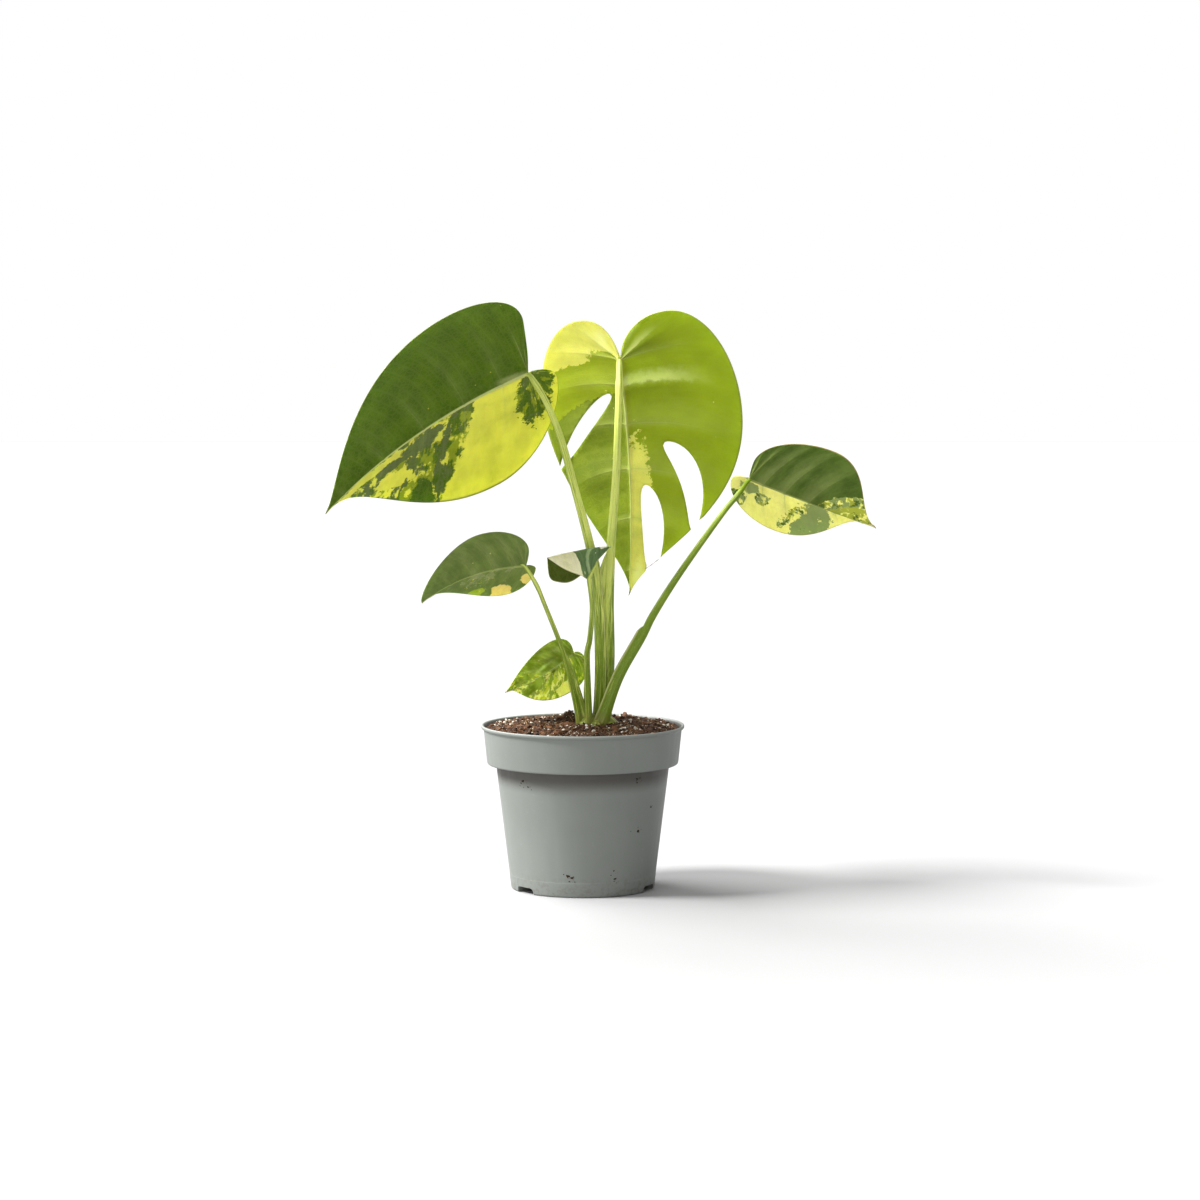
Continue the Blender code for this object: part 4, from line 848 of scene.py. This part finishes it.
# Its midrib runs up from the stalk and then along the crest to the tip.
on_rib = through(((0.63, 0.0), (0.60, 0.16), (0.64, 0.32), (0.76, 0.46), (0.9, 0.52), (1.0, 0.5)), 60)
rib_at = sheet[np.round(on_rib[:, 0] * 89).astype(int), np.round(np.clip(on_rib[:, 1], 0, 1) * 40).astype(int)]
off = np.linalg.norm(sheet[:, :, None] - rib_at[None, None], axis=-1).min(axis=-1)
phase = along * 7 - 0.5
ribs = np.stack([np.abs(phase - np.round(phase)) * 6, off], -1).reshape(-1, 2)
sheet = sheet - normal * (0.45 * np.exp(-((off / 0.9) ** 2)))[..., None]
upper = sheet.reshape(-1, 3)
under = (sheet - (0.45 + 0.5 * np.exp(-((off / 0.9) ** 2)))[..., None] * normal).reshape(-1, 3)
faces = grid_triangles(90, 41, 0, False)
facing = np.cross(upper[faces[:, 1]] - upper[faces[:, 0]], upper[faces[:, 2]] - upper[faces[:, 0]])[:, 2].sum()
faces = faces if facing > 0 else faces[:, ::-1]
made = closed_sheet("blade_5", upper, under, faces, merged, {"flat": flat, "vein": vein, "ribs": ribs})
for skin in leaf_skins(5):
    made.data.materials.append(skin)
finish_blade(made, 5)


# The stalks: round and juicy, with fine ridges along them and, on the side that faces the middle of the plant,
# the two thin edges of a sheath, which once held the next leaf. Each runs on into the midrib of its blade.
def stalk(number, path, radii, inner_side, sheath, top, tail, tone=0.6, flare=(0.22, 5.0)):
    """A tube along a smooth curve. Its radius at each angle round it is the stalk's own, with ridges as waves and
    the sheath's two edges as narrow bells to both sides of inner_side, which is 0 on the left and 90 at the back.
    sheath holds their height, how far apart they stand and the share of their length over which they taper off;
    they run up to the share top of the stalk. tail holds the points that carry the tube on into the blade. The foot flares by a share that dies away over
    a length. Millimetres and degrees. tone is 0 for a green stalk and 1 for a pale one, and each is paler on its
    inner side."""
    path = [*path, *tail]
    rings, around = 40 * (len(path) - 1) // 4 + 60, 72
    centres = through(path, rings)
    run = np.concatenate([[0], np.cumsum(np.linalg.norm(np.diff(centres, axis=0), axis=1))])
    own = len(path) - 1 - len(tail)
    place = np.linspace(0, len(path) - 1, rings)
    share = np.clip(place / own, 0, 1)
    radius = np.interp(share, np.linspace(0, 1, len(radii)), radii)
    radius = radius * np.clip(1 - (place - own) / (len(tail) + 0.3), 0.15, 1) ** 0.45
    radius = radius * (1 + flare[0] * np.exp(-run / flare[1]) + 0.16 * np.exp(-(((run - run[place <= own][-1]) / 4.5) ** 2)))
    ahead = np.gradient(centres, axis=0)
    ahead /= np.linalg.norm(ahead, axis=1)[:, None]
    side = np.cross(ahead, [0, 1, 0])
    side /= np.linalg.norm(side, axis=1)[:, None]
    back = np.cross(side, ahead)
    turn = np.linspace(0, math.tau, around, endpoint=False)
    off = (np.degrees(turn) - inner_side + 180) % 360 - 180
    height, spread, taper = sheath
    edges = np.exp(-(((np.abs(off) - spread) / 9) ** 2))
    rise = np.clip((top - share) / (taper * top), 0, 1) ** 0.6
    wave = 0.028 * np.sin(turn * 11) + 0.022 * np.sin(turn * 7 + 1)
    dip = -0.10 * np.exp(-((off / 24) ** 2))
    reach = radius[:, None] * (1 + wave + dip)[None] + height * rise[:, None] * edges[None]
    out = side[:, None] * np.cos(turn)[None, :, None] + back[:, None] * np.sin(turn)[None, :, None]
    points = centres[:, None] + out * reach[..., None]
    k = np.arange(rings * around).reshape(rings, around)
    after = np.roll(k, -1, axis=1)
    quads = np.stack([k[:-1], after[:-1], after[1:], k[1:]], -1).reshape(-1, 4)
    made = add_mesh(f"stalk_{number}", points.reshape(-1, 3) * MM, [*quads.tolist(), k[0, ::-1].tolist(), k[-1].tolist()])
    mesh = made.data
    bm = bmesh.new()
    bm.from_mesh(mesh)
    bmesh.ops.recalc_face_normals(bm, faces=bm.faces)
    bm.to_mesh(mesh)
    bm.free()
    corner = np.zeros(len(mesh.loops), np.int32)
    mesh.loops.foreach_get("vertex_index", corner)
    angle = np.broadcast_to(turn / math.tau, (rings, around)).ravel()
    length = np.broadcast_to(run[:, None] / 10, (rings, around)).ravel()
    corner_map(made, "run", np.stack([angle[corner], length[corner]], -1))
    edge = (edges[None] * rise[:, None]).ravel()
    paler = np.broadcast_to(tone + 0.25 * np.cos(np.radians(off)), (rings, around)).ravel()
    corner_map(made, "sheath", np.stack([edge[corner], paler[corner]], -1))
    made.data.materials.append(stalk_material)
    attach(made, "root")
    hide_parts(f"leaf{number}_stalk")
    return made


def midrib_entry(number, reach):
    """The points, in millimetres, by which a stalk goes on into its blade: the joint, then along the midrib."""
    shape = LEAVES[number]
    axes = blade_axes(*shape["pose"])
    start = math.radians(shape["arch"]) / 2
    along = axes[0] * math.cos(start) + axes[2] * math.sin(start)
    out = axes[2] * math.cos(start) - axes[0] * math.sin(start)
    joint = np.array(shape["joint"])
    depth = shape["rib_depth"]
    return [tuple(joint + along * 0.6 - out * 0.62 * depth), tuple(joint + along * reach - out * 0.45 * depth)]


# The skin of the stalks and the crown: pale streaks run along it over green, with breathing pores as pale dots.
skin, given, result = new_group(
    "stem_skin",
    [("Run", "Vector"), ("Place", "Vector"), ("Tone", "Float")],
    [("Colour", "Color"), ("Gloss", "Float"), ("Height", "Float")],
)
angle, length = halves(skin, given["Run"])
turn_by = reckon(skin, "MULTIPLY", angle, math.tau)
round_it = {0: reckon(skin, "COSINE", turn_by), 1: reckon(skin, "SINE", turn_by), 2: reckon(skin, "MULTIPLY", length, 0.10)}
lanes = node(skin, "CombineXYZ", round_it).outputs[0]
streaks = grain(skin, lanes, 7.0, 5, 0.7)
broad = grain(skin, lanes, 1.7, 3)
blotches = grain(skin, given["Place"], 60, 3)
share = reckon(skin, "ADD", reckon(skin, "MULTIPLY", streaks, 0.95), reckon(skin, "MULTIPLY", broad, 0.6))
share = reckon(skin, "ADD", share, reckon(skin, "MULTIPLY_ADD", given["Tone"], 0.30, -0.50))
share = reckon(skin, "ADD", share, ease(skin, length, 3.0, 14.0, -0.08, 0.14))
colour = blend(skin, ease(skin, share, 0.41, 0.62), (0.175, 0.270, 0.005, 1), (0.72, 0.80, 0.180, 1))
colour = blend(skin, ease(skin, blotches, 0.45, 0.75, 0.0, 0.35), colour, (0.34, 0.46, 0.03, 1))
pores = node(skin, "TexVoronoi", {"Vector": given["Place"], "Scale": 750.0}).outputs["Distance"]
colour = blend(skin, ease(skin, pores, 0.10, 0.20, 0.35, 0.0), colour, (0.60, 0.62, 0.30, 1))
ridges = reckon(skin, "SINE", reckon(skin, "MULTIPLY", angle, 26 * math.tau))
skin.links.new(colour, result["Colour"])
skin.links.new(ease(skin, streaks, 0.3, 0.7, 0.36, 0.52), result["Gloss"])
skin.links.new(reckon(skin, "MULTIPLY_ADD", ridges, 0.25, streaks), result["Height"])

stalk_material, tree, surface = new_material("stalk_skin", 0.45, Subsurface_Weight=0.35, Subsurface_Scale=0.35 * MM, Specular_IOR_Level=0.35)
surface.inputs["Subsurface Radius"].default_value = (1.2, 1.6, 0.5)
run = node(tree, "UVMap", uv_map="run").outputs["UV"]
edge, tone = halves(tree, node(tree, "UVMap", uv_map="sheath").outputs["UV"])
place = node(tree, "TexCoord").outputs["Object"]
streaked = node(tree, "Group", {"Run": run, "Place": place, "Tone": tone}, node_tree=skin).outputs
colour = blend(tree, ease(tree, edge, 0.45, 0.95, 0.0, 0.75), streaked["Colour"], (0.62, 0.62, 0.26, 1))
low = reckon(tree, "ADD", halves(tree, run)[1], reckon(tree, "MULTIPLY", grain(tree, place, 220, 3), 0.9))
colour = blend(tree, ease(tree, low, 1.45, 0.55, 0.0, 0.55), colour, (0.22, 0.17, 0.05, 1))
# Seen edge-on, the stalk is painted a deeper green: partly the green under its clear skin, and partly painted
# shade along its sides, which the light reaches less.
edge_on_shade = node(tree, "LayerWeight", {"Blend": 0.4}).outputs["Facing"]
colour = blend(tree, ease(tree, edge_on_shade, 0.45, 0.95, 0.0, 0.65), colour, (0.10, 0.15, 0.006, 1))
tree.links.new(colour, surface.inputs["Base Color"])
tree.links.new(streaked["Gloss"], surface.inputs["Roughness"])
relief(tree, surface, streaked["Height"], 0.10)

stalk(
    1,
    ((9.5, 2.0, 97.5), (10.6, 1.0, 135), (8.4, 0, 182), (4.2, -1.5, 203), (-5.6, -8, 241), (-13.1, -15, 268), (-21.2, -22.5, 288), (-27.5, -26, 299)),
    (3.4, 3.3, 3.0, 2.4, 2.2, 1.9, 1.7), 180, (0.8, 40, 0.12), 0.55, midrib_entry(1, 9), tone=0.7,
)
stalk(
    2,
    ((12.9, 4.2, 97.5), (15.5, 3.6, 133), (15.4, 2.8, 170), (16.8, 1.0, 205), (19.4, -1.0, 241), (20.6, -1.5, 271), (21.5, 1.5, 296)),
    (3.4, 3.3, 3.0, 2.7, 2.4, 2.2, 2.2), 0, (4.4, 27, 0.12), 0.465, midrib_entry(2, 9), tone=0.9,
)
stalk(
    3,
    ((11.4, -4.6, 97.5), (21.6, -4.8, 125), (34.6, -5.0, 148.5), (41.9, -5.0, 163), (57.2, -4.5, 187), (80.7, -4.0, 220), (91.3, -3.0, 233)),
    (2.6, 2.4, 2.4, 2.3, 2.0, 1.7, 1.5), 0, (2.6, 22, 0.12), 0.40, midrib_entry(3, 6), tone=-0.05, flare=(0.55, 10.0),
)
stalk(
    4,
    ((-1.8, -2.5, 97.5), (-3.9, -3.0, 110), (-9.0, -6.0, 131.5), (-13.3, -8.5, 146), (-22.0, -12.5, 168.5), (-27.0, -17.0, 181)),
    (1.9, 1.8, 1.5, 1.4, 1.25, 1.2), 180, (4.2, 14, 0.9), 0.50, midrib_entry(4, 5), tone=0.75,
)
stalk(
    5,
    ((4.0, -6.5, 97.5), (3.1, -7.5, 117.4), (2.6, -10.0, 138.4), (4.3, -12.5, 149.1), (5.6, -16.5, 166), (4.6, -20.6, 178), (4.0, -21.2, 183.8)),
    (2.0, 1.9, 1.65, 1.45, 1.25, 1.25), 120, (0.2, 30, 0.12), 0.5, [(4.3, -20.9, 186.0), (8.0, -17.5, 193.0)], tone=0.85, flare=(0.10, 4.0),
)
stalk(
    6,
    ((2.2, 3.5, 97.5), (1.9, 4.5, 116.5), (2.2, 6.0, 123), (1.6, 8.0, 130), (-0.6, 8.2, 135.3)),
    (1.5, 1.2, 1.0, 0.9), 180, (0.5, 30, 0.12), 0.5, midrib_entry(6, 4), tone=0.9,
)


# The crown: the short stem that the stalks grow from, ringed with the scars of older leaves. It stands in the soil
# and its rounded top fills the middle between the feet of the stalks.
def crown_shape(turn, rise):
    """Points of the crown, in millimetres. Its outline is an ellipse with low lobes towards the stalks. It keeps
    its width up to the scars and then rounds off to its top, and each scar is a narrow ring that stands out."""
    height = 86.0 + 17.5 * rise
    round_off = np.sqrt(np.clip(1 - (np.clip(rise - 0.55, 0, 1) / 0.45) ** 2, 0, 1))
    scars = 0.035 * np.exp(-(((rise[..., None] - (0.35, 0.52, 0.70)) / 0.03) ** 2)).sum(-1)
    reach = round_off * (0.95 + 0.05 * np.cos(3 * turn + 0.7) + scars) + 0.0 * height
    return np.stack([8.6 + 13.0 * reach * np.cos(turn), 0.2 + 9.6 * reach * np.sin(turn), height], -1)


turn, rise = np.meshgrid(np.linspace(0, math.tau, 72, endpoint=False), np.linspace(0, 0.995, 60), indexing="xy")
points = crown_shape(turn, rise)
k = np.arange(points.shape[0] * 72).reshape(-1, 72)
after = np.roll(k, -1, axis=1)
quads = np.stack([k[:-1], after[:-1], after[1:], k[1:]], -1).reshape(-1, 4).tolist()
crown = add_mesh("crown_stem", points.reshape(-1, 3) * MM, [*quads, k[0, ::-1].tolist(), k[-1].tolist()], sharp=60)
crown_material, tree, surface = new_material("crown_skin", 0.55, Specular_IOR_Level=0.3)
place = node(tree, "TexCoord").outputs["Object"]
x, y = halves(tree, place)
round_it = reckon(tree, "DIVIDE", reckon(tree, "ARCTAN2", reckon(tree, "ADD", y, -0.0002), reckon(tree, "ADD", x, -0.0086)), math.tau)
height = node(tree, "SeparateXYZ", {0: place}).outputs["Z"]
run = node(tree, "CombineXYZ", {0: round_it, 1: reckon(tree, "MULTIPLY", height, 100.0)}).outputs[0]
streaked = node(tree, "Group", {"Run": run, "Place": place, "Tone": 0.3}, node_tree=skin).outputs
rings = reckon(tree, "SINE", reckon(tree, "MULTIPLY_ADD", grain(tree, place, 90, 2), 3.0, reckon(tree, "MULTIPLY", height, 1900.0)))
colour = blend(tree, ease(tree, rings, 0.3, 1.0, 0.15, 0.6), streaked["Colour"], (0.20, 0.13, 0.06, 1))
tree.links.new(colour, surface.inputs["Base Color"])
tree.links.new(streaked["Gloss"], surface.inputs["Roughness"])
relief(tree, surface, reckon(tree, "ADD", rings, streaked["Height"]), 0.15)
crown.data.materials.append(crown_material)
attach(crown, "root")
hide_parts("crown")


# The soil: damp, dark bark and coir with pale grains of perlite, heaped a little towards the plant.
def soil_height(x, y):
    """The heaped top of the soil, in metres: a low dome with round clods on it."""
    away = np.clip((x**2 + y**2) / COLLAR_TOP**2, 0, 1)
    height = 0.0949 + 0.0022 * (1 - away) ** 0.8
    clods = np.array(
        [
            (-8, 13, 7.0, 6), (-21, 15, 1.8, 8), (26, 12, 2.0, 8), (36, 16, 0.8, 7), (10, 24, 0.6, 9),
            (-36, 10, 0.8, 8), (-28, -16, 1.6, 9), (27, -17, 1.5, 8), (2, -30, 1.5, 9),
        ]
    ) * MM
    apart = (x[..., None] - clods[:, 0]) ** 2 + (y[..., None] - clods[:, 1]) ** 2
    return height + (clods[:, 2] * np.exp(-apart / clods[:, 3] ** 2)).sum(-1)


def value_noise(x, y, size, seed):
    """Smooth noise from 0 to 1 whose lumps are about size wide: a table of random numbers read between its
    nearest four, with eased steps."""
    table = np.random.default_rng(seed).random((64, 64))
    u, v = x / size, y / size
    i, j = np.floor(u).astype(int), np.floor(v).astype(int)
    a, b = u - i, v - j
    a, b = a * a * (3 - 2 * a), b * b * (3 - 2 * b)
    here, right = table[i % 64, j % 64], table[(i + 1) % 64, j % 64]
    above, both = table[i % 64, (j + 1) % 64], table[(i + 1) % 64, (j + 1) % 64]
    return (here * (1 - a) + right * a) * (1 - b) + (above * (1 - a) + both * a) * b


def soil_top(x, y):
    """soil_height with crumbs on it: noise of four sizes, weaker towards the wall of the pot."""
    edge = np.clip((0.0568 - np.hypot(x, y)) / 0.006, 0, 1)
    crumbs = sum(
        height * (value_noise(x + 1, y + 1, size, seed) - 0.5)
        for size, height, seed in ((0.0075, 0.0022, 1), (0.0036, 0.0017, 2), (0.0018, 0.0011, 3), (0.0009, 0.0006, 4))
    )
    return soil_height(x, y) + crumbs * (0.35 + 0.65 * edge)


SOIL_EDGE = COLLAR_TOP - WALL - 0.0002
turn = np.linspace(0, math.tau, 300, endpoint=False)[None]
ring = SOIL_EDGE * np.linspace(0, 1, 90)[1:, None] ** 0.8
x, y = ring * np.cos(turn), ring * np.sin(turn)
top = np.stack([x, y, soil_top(x, y)], -1)
wall_rings = np.array([(SOIL_EDGE - 0.0002, 0.0925), (COLLAR_LOW - WALL - 0.0006, 0.0765), (BODY_TOP - WALL - 0.0004, 0.0745), (BASE - WALL - 0.0004, 0.0066)])
wall = np.stack([wall_rings[:, :1] * np.cos(turn), wall_rings[:, :1] * np.sin(turn), wall_rings[:, 1:] + 0 * turn], -1)
rings = np.concatenate([top, wall])
k = np.arange(rings.shape[0] * 300).reshape(-1, 300)
after = np.roll(k, -1, axis=1)
quads = np.stack([k[:-1], k[1:], after[1:], after[:-1]], -1).reshape(-1, 4).tolist()
centre = rings.shape[0] * 300
caps = np.stack([np.full(300, centre), k[0], after[0]], -1).tolist() + np.stack([np.full(300, centre + 1), after[-1], k[-1]], -1).tolist()
middle_height = float(soil_top(np.zeros(1), np.zeros(1))[0])
soil = add_mesh("soil_bed", np.vstack([rings.reshape(-1, 3), [(0, 0, middle_height), (0, 0, 0.0066)]]), quads + caps)
soil_material, tree, surface = new_material("damp_bark", 0.9, Specular_IOR_Level=0.25)
place = node(tree, "TexCoord").outputs["Object"]
lumps = grain(tree, place, 420, 5, 0.65)
specks = grain(tree, place, 1600, 3, 0.6)
colour = blend(tree, ease(tree, lumps, 0.38, 0.62), (0.014, 0.007, 0.004, 1), (0.085, 0.038, 0.019, 1))
colour = blend(tree, ease(tree, specks, 0.56, 0.66, 0.0, 0.8), colour, (0.23, 0.12, 0.06, 1))
colour = blend(tree, ease(tree, grain(tree, place, 900, 2), 0.70, 0.74, 0.0, 0.8), colour, (0.55, 0.48, 0.36, 1))
tree.links.new(colour, surface.inputs["Base Color"])
tree.links.new(ease(tree, lumps, 0.3, 0.7, 0.75, 0.98), surface.inputs["Roughness"])
relief(tree, surface, reckon(tree, "ADD", lumps, reckon(tree, "MULTIPLY", specks, 0.5)), 0.9)
soil.data.materials.append(soil_material)
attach(soil, "root")
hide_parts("soil")


# What lies on the soil: chips of bark, crumbs, coir fibres and pale grains of perlite, strewn as they fell.
def ball(level):
    """The points and faces of a small ball of triangles, of radius 1."""
    bm = bmesh.new()
    bmesh.ops.create_icosphere(bm, subdivisions=level, radius=1.0)
    points = np.array([vert.co for vert in bm.verts])
    faces = np.array([[vert.index for vert in face.verts] for face in bm.faces])
    bm.free()
    return points, faces


def joined(name, points, faces, shade, material):
    """One piece from many copies of a small shape: points holds the places of each copy, and shade one pair of
    random numbers for each, which its material reads as the UV map shade."""
    count, per_copy = points.shape[:2]
    every = (faces[None] + per_copy * np.arange(count)[:, None, None]).reshape(-1, faces.shape[1])
    made = add_mesh(name, points.reshape(-1, 3) * MM, every, sharp=50)
    corner_map(made, "shade", np.repeat(shade, faces.size, axis=0))
    made.data.materials.append(material)
    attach(made, "root")
    return made


def rotations(turn, tilt, lean):
    """For each copy, the matrix that tilts it about X, leans it about Y and then turns it about Z, in radians."""
    (c, s), (ct, st), (cl, sl) = ((np.cos(a), np.sin(a)) for a in (turn, tilt, lean))
    zero, one = np.zeros_like(c), np.ones_like(c)
    about_x = np.stack([one, zero, zero, zero, ct, -st, zero, st, ct], -1).reshape(-1, 3, 3)
    about_y = np.stack([cl, zero, sl, zero, one, zero, -sl, zero, cl], -1).reshape(-1, 3, 3)
    about_z = np.stack([c, -s, zero, s, c, zero, zero, zero, one], -1).reshape(-1, 3, 3)
    return about_z @ about_y @ about_x


def strewn(name, level, count, smallest, largest, uneven, sunk, seed, material):
    """Balls stretched to sizes between the smallest and the largest, with each point moved in or out at random by
    the share uneven, turned and laid on the soil at random, sunk into it by a share of their height."""
    rng = np.random.default_rng(seed)
    shape, faces = ball(level)
    size = np.array(smallest) + (np.array(largest) - smallest) * rng.random((count, 1)) ** 1.8 * rng.uniform(0.7, 1, (count, 3))
    lumpy = 1 + uneven * rng.uniform(-1, 1, (count, len(shape), 1))
    local = shape[None] * lumpy * size[:, None]
    turned_by = rotations(rng.uniform(0, math.tau, count), rng.normal(0, 0.4, count), rng.normal(0, 0.4, count))
    away = (SOIL_EDGE - 0.0020) * np.sqrt(rng.uniform(0, 1, count))
    around = rng.uniform(0, math.tau, count)
    x, y = away * np.cos(around), away * np.sin(around)
    z = soil_top(x, y) / MM + (0.6 - sunk) * size[:, 2]
    middle = np.stack([x / MM, y / MM, z], -1)
    points = local @ turned_by.transpose(0, 2, 1) + middle[:, None]
    return joined(name, points, faces, rng.random((count, 2)), material)


def shaded_material(name, roughness, dark, light, mottle, bump):
    """The material of strewn pieces: each has its own tone between dark and light, mottled by noise."""
    made, tree, surface = new_material(name, roughness, Specular_IOR_Level=0.3)
    place = node(tree, "TexCoord").outputs["Object"]
    own = halves(tree, node(tree, "UVMap", uv_map="shade").outputs["UV"])[0]
    noise = grain(tree, place, mottle, 4, 0.6)
    share = reckon(tree, "MULTIPLY_ADD", own, 0.75, reckon(tree, "MULTIPLY_ADD", noise, 0.9, -0.32))
    tree.links.new(blend(tree, ease(tree, share, 0.0, 1.0), (*dark, 1), (*light, 1)), surface.inputs["Base Color"])
    tree.links.new(ease(tree, noise, 0.3, 0.7, roughness - 0.1, roughness + 0.05), surface.inputs["Roughness"])
    relief(tree, surface, noise, bump)
    return made


bark_material = shaded_material("bark_chip", 0.85, (0.014, 0.007, 0.004), (0.175, 0.075, 0.030), 900, 0.3)
coir_material = shaded_material("coir_fibre", 0.8, (0.10, 0.050, 0.022), (0.40, 0.26, 0.13), 700, 0.05)
perlite_material = shaded_material("perlite_grain", 0.9, (0.48, 0.42, 0.32), (0.90, 0.86, 0.76), 1100, 0.25)
strewn("bark_chips", 2, 620, (0.8, 0.5, 0.30), (3.4, 2.0, 1.1), 0.30, 0.5, 11, bark_material)
strewn("soil_crumbs", 1, 2600, (0.30, 0.25, 0.20), (1.3, 1.0, 0.8), 0.35, 0.3, 12, bark_material)
strewn("perlite", 2, 190, (0.5, 0.40, 0.35), (1.6, 1.2, 1.0), 0.34, 0.4, 13, perlite_material)
strewn("perlite_dust", 1, 560, (0.20, 0.18, 0.15), (0.55, 0.5, 0.4), 0.25, 0.0, 14, perlite_material)

# The coir fibres: thin, bent and tapered, with their ends up.
rng = np.random.default_rng(15)
count, steps = 330, 9
span = np.linspace(-1, 1, steps)
half = rng.uniform(1.5, 6.0, (count, 1))
bow, hump = rng.normal(0, 0.35, (count, 1)), rng.uniform(-0.10, 0.22, (count, 1))
middle_line = np.stack([half * span, half * bow * (span**2 - 0.4) + 0.2 * half * span**3, half * hump * (1.0 - span**2)], -1)
turned_by = rotations(rng.uniform(0, math.tau, count), np.zeros(count), rng.normal(0, 0.12, count))
middle_line = middle_line @ turned_by.transpose(0, 2, 1)
away, around = 50.0 * np.sqrt(rng.uniform(0, 1, count)), rng.uniform(0, math.tau, count)
x = np.clip(middle_line[..., 0] + (away * np.cos(around))[:, None], -53, 53)
y = middle_line[..., 1] + (away * np.sin(around))[:, None]
inward = np.minimum(1, 53.5 / np.maximum(np.hypot(x, y), 1))
x, y = x * inward, y * inward
z = soil_top(x * MM, y * MM) / MM + 0.25 + np.maximum(middle_line[..., 2], -0.2)
middle_line = np.stack([x, y, z], -1)
thick = rng.uniform(0.08, 0.19, (count, 1)) * (1 - 0.75 * span**2)
ring = np.array([(0, 1, 0), (0, 0, 1), (0, -1, 0), (0, 0, -1)], float) @ np.eye(3)
ring = ring[None] @ turned_by.transpose(0, 2, 1)
points = (middle_line[:, :, None] + thick[..., None, None] * ring[:, None]).reshape(count, -1, 3)
k = np.arange(steps * 4).reshape(steps, 4)
after = np.roll(k, -1, axis=1)
quads = np.stack([k[:-1], after[:-1], after[1:], k[1:]], -1).reshape(-1, 4)
faces = np.vstack([quads, k[0, ::-1][None], k[-1][None]])
joined("coir_fibres", points, faces, rng.random((count, 2)), coir_material)

# Crumbs of the same soil cling to the outside of the pot. Each is given by its angle round the pot, its height
# and its half length in millimetres.
CLINGING = (
    (-133.2, 68.0, 0.9), (-129.2, 64.8, 0.7), (-101.1, 13.2, 1.2), (-98.0, 12.1, 1.0), (-65.4, 15.7, 0.7),
    (-64.2, 10.9, 0.9), (-51.3, 69.6, 1.0), (-48.8, 70.0, 0.5), (-34.4, 51.5, 0.7), (-46.3, 38.3, 1.0), (40.0, 30.0, 0.8),
    (95.0, 55.0, 0.9), (140.0, 20.0, 0.7), (170.0, 62.0, 0.6), (12.0, 44.0, 0.7),
)
rng = np.random.default_rng(17)
near_by = np.repeat(np.array(CLINGING), 4, axis=0)
near_by = near_by + rng.normal(0, 1, near_by.shape) * (2.6, 1.6, 0)
near_by[:, 2] *= rng.uniform(0.25, 0.55, len(near_by))
angle, height, size = np.vstack([CLINGING, near_by]).T
reach = np.interp(height * MM, (0.0, 0.0088, COLLAR_FOOT), (BASE, BASE + 0.0009, BODY_TOP)) / MM
angle = np.radians(angle)
rng = np.random.default_rng(16)
shape, faces = ball(2)
local = shape[None] * (1 + 0.3 * rng.uniform(-1, 1, (len(size), len(shape), 1)))
local = local * np.stack([0.30 * size, size, rng.uniform(0.4, 0.8, len(size)) * size], -1)[:, None]
local = local @ rotations(angle, rng.uniform(-0.8, 0.8, len(size)), 0 * angle).transpose(0, 2, 1)
middle = np.stack([reach * np.cos(angle), reach * np.sin(angle), height], -1)
joined("clinging_crumbs", local + middle[:, None], faces, 0.3 * rng.random((len(size), 2)), bark_material)


low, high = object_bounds()
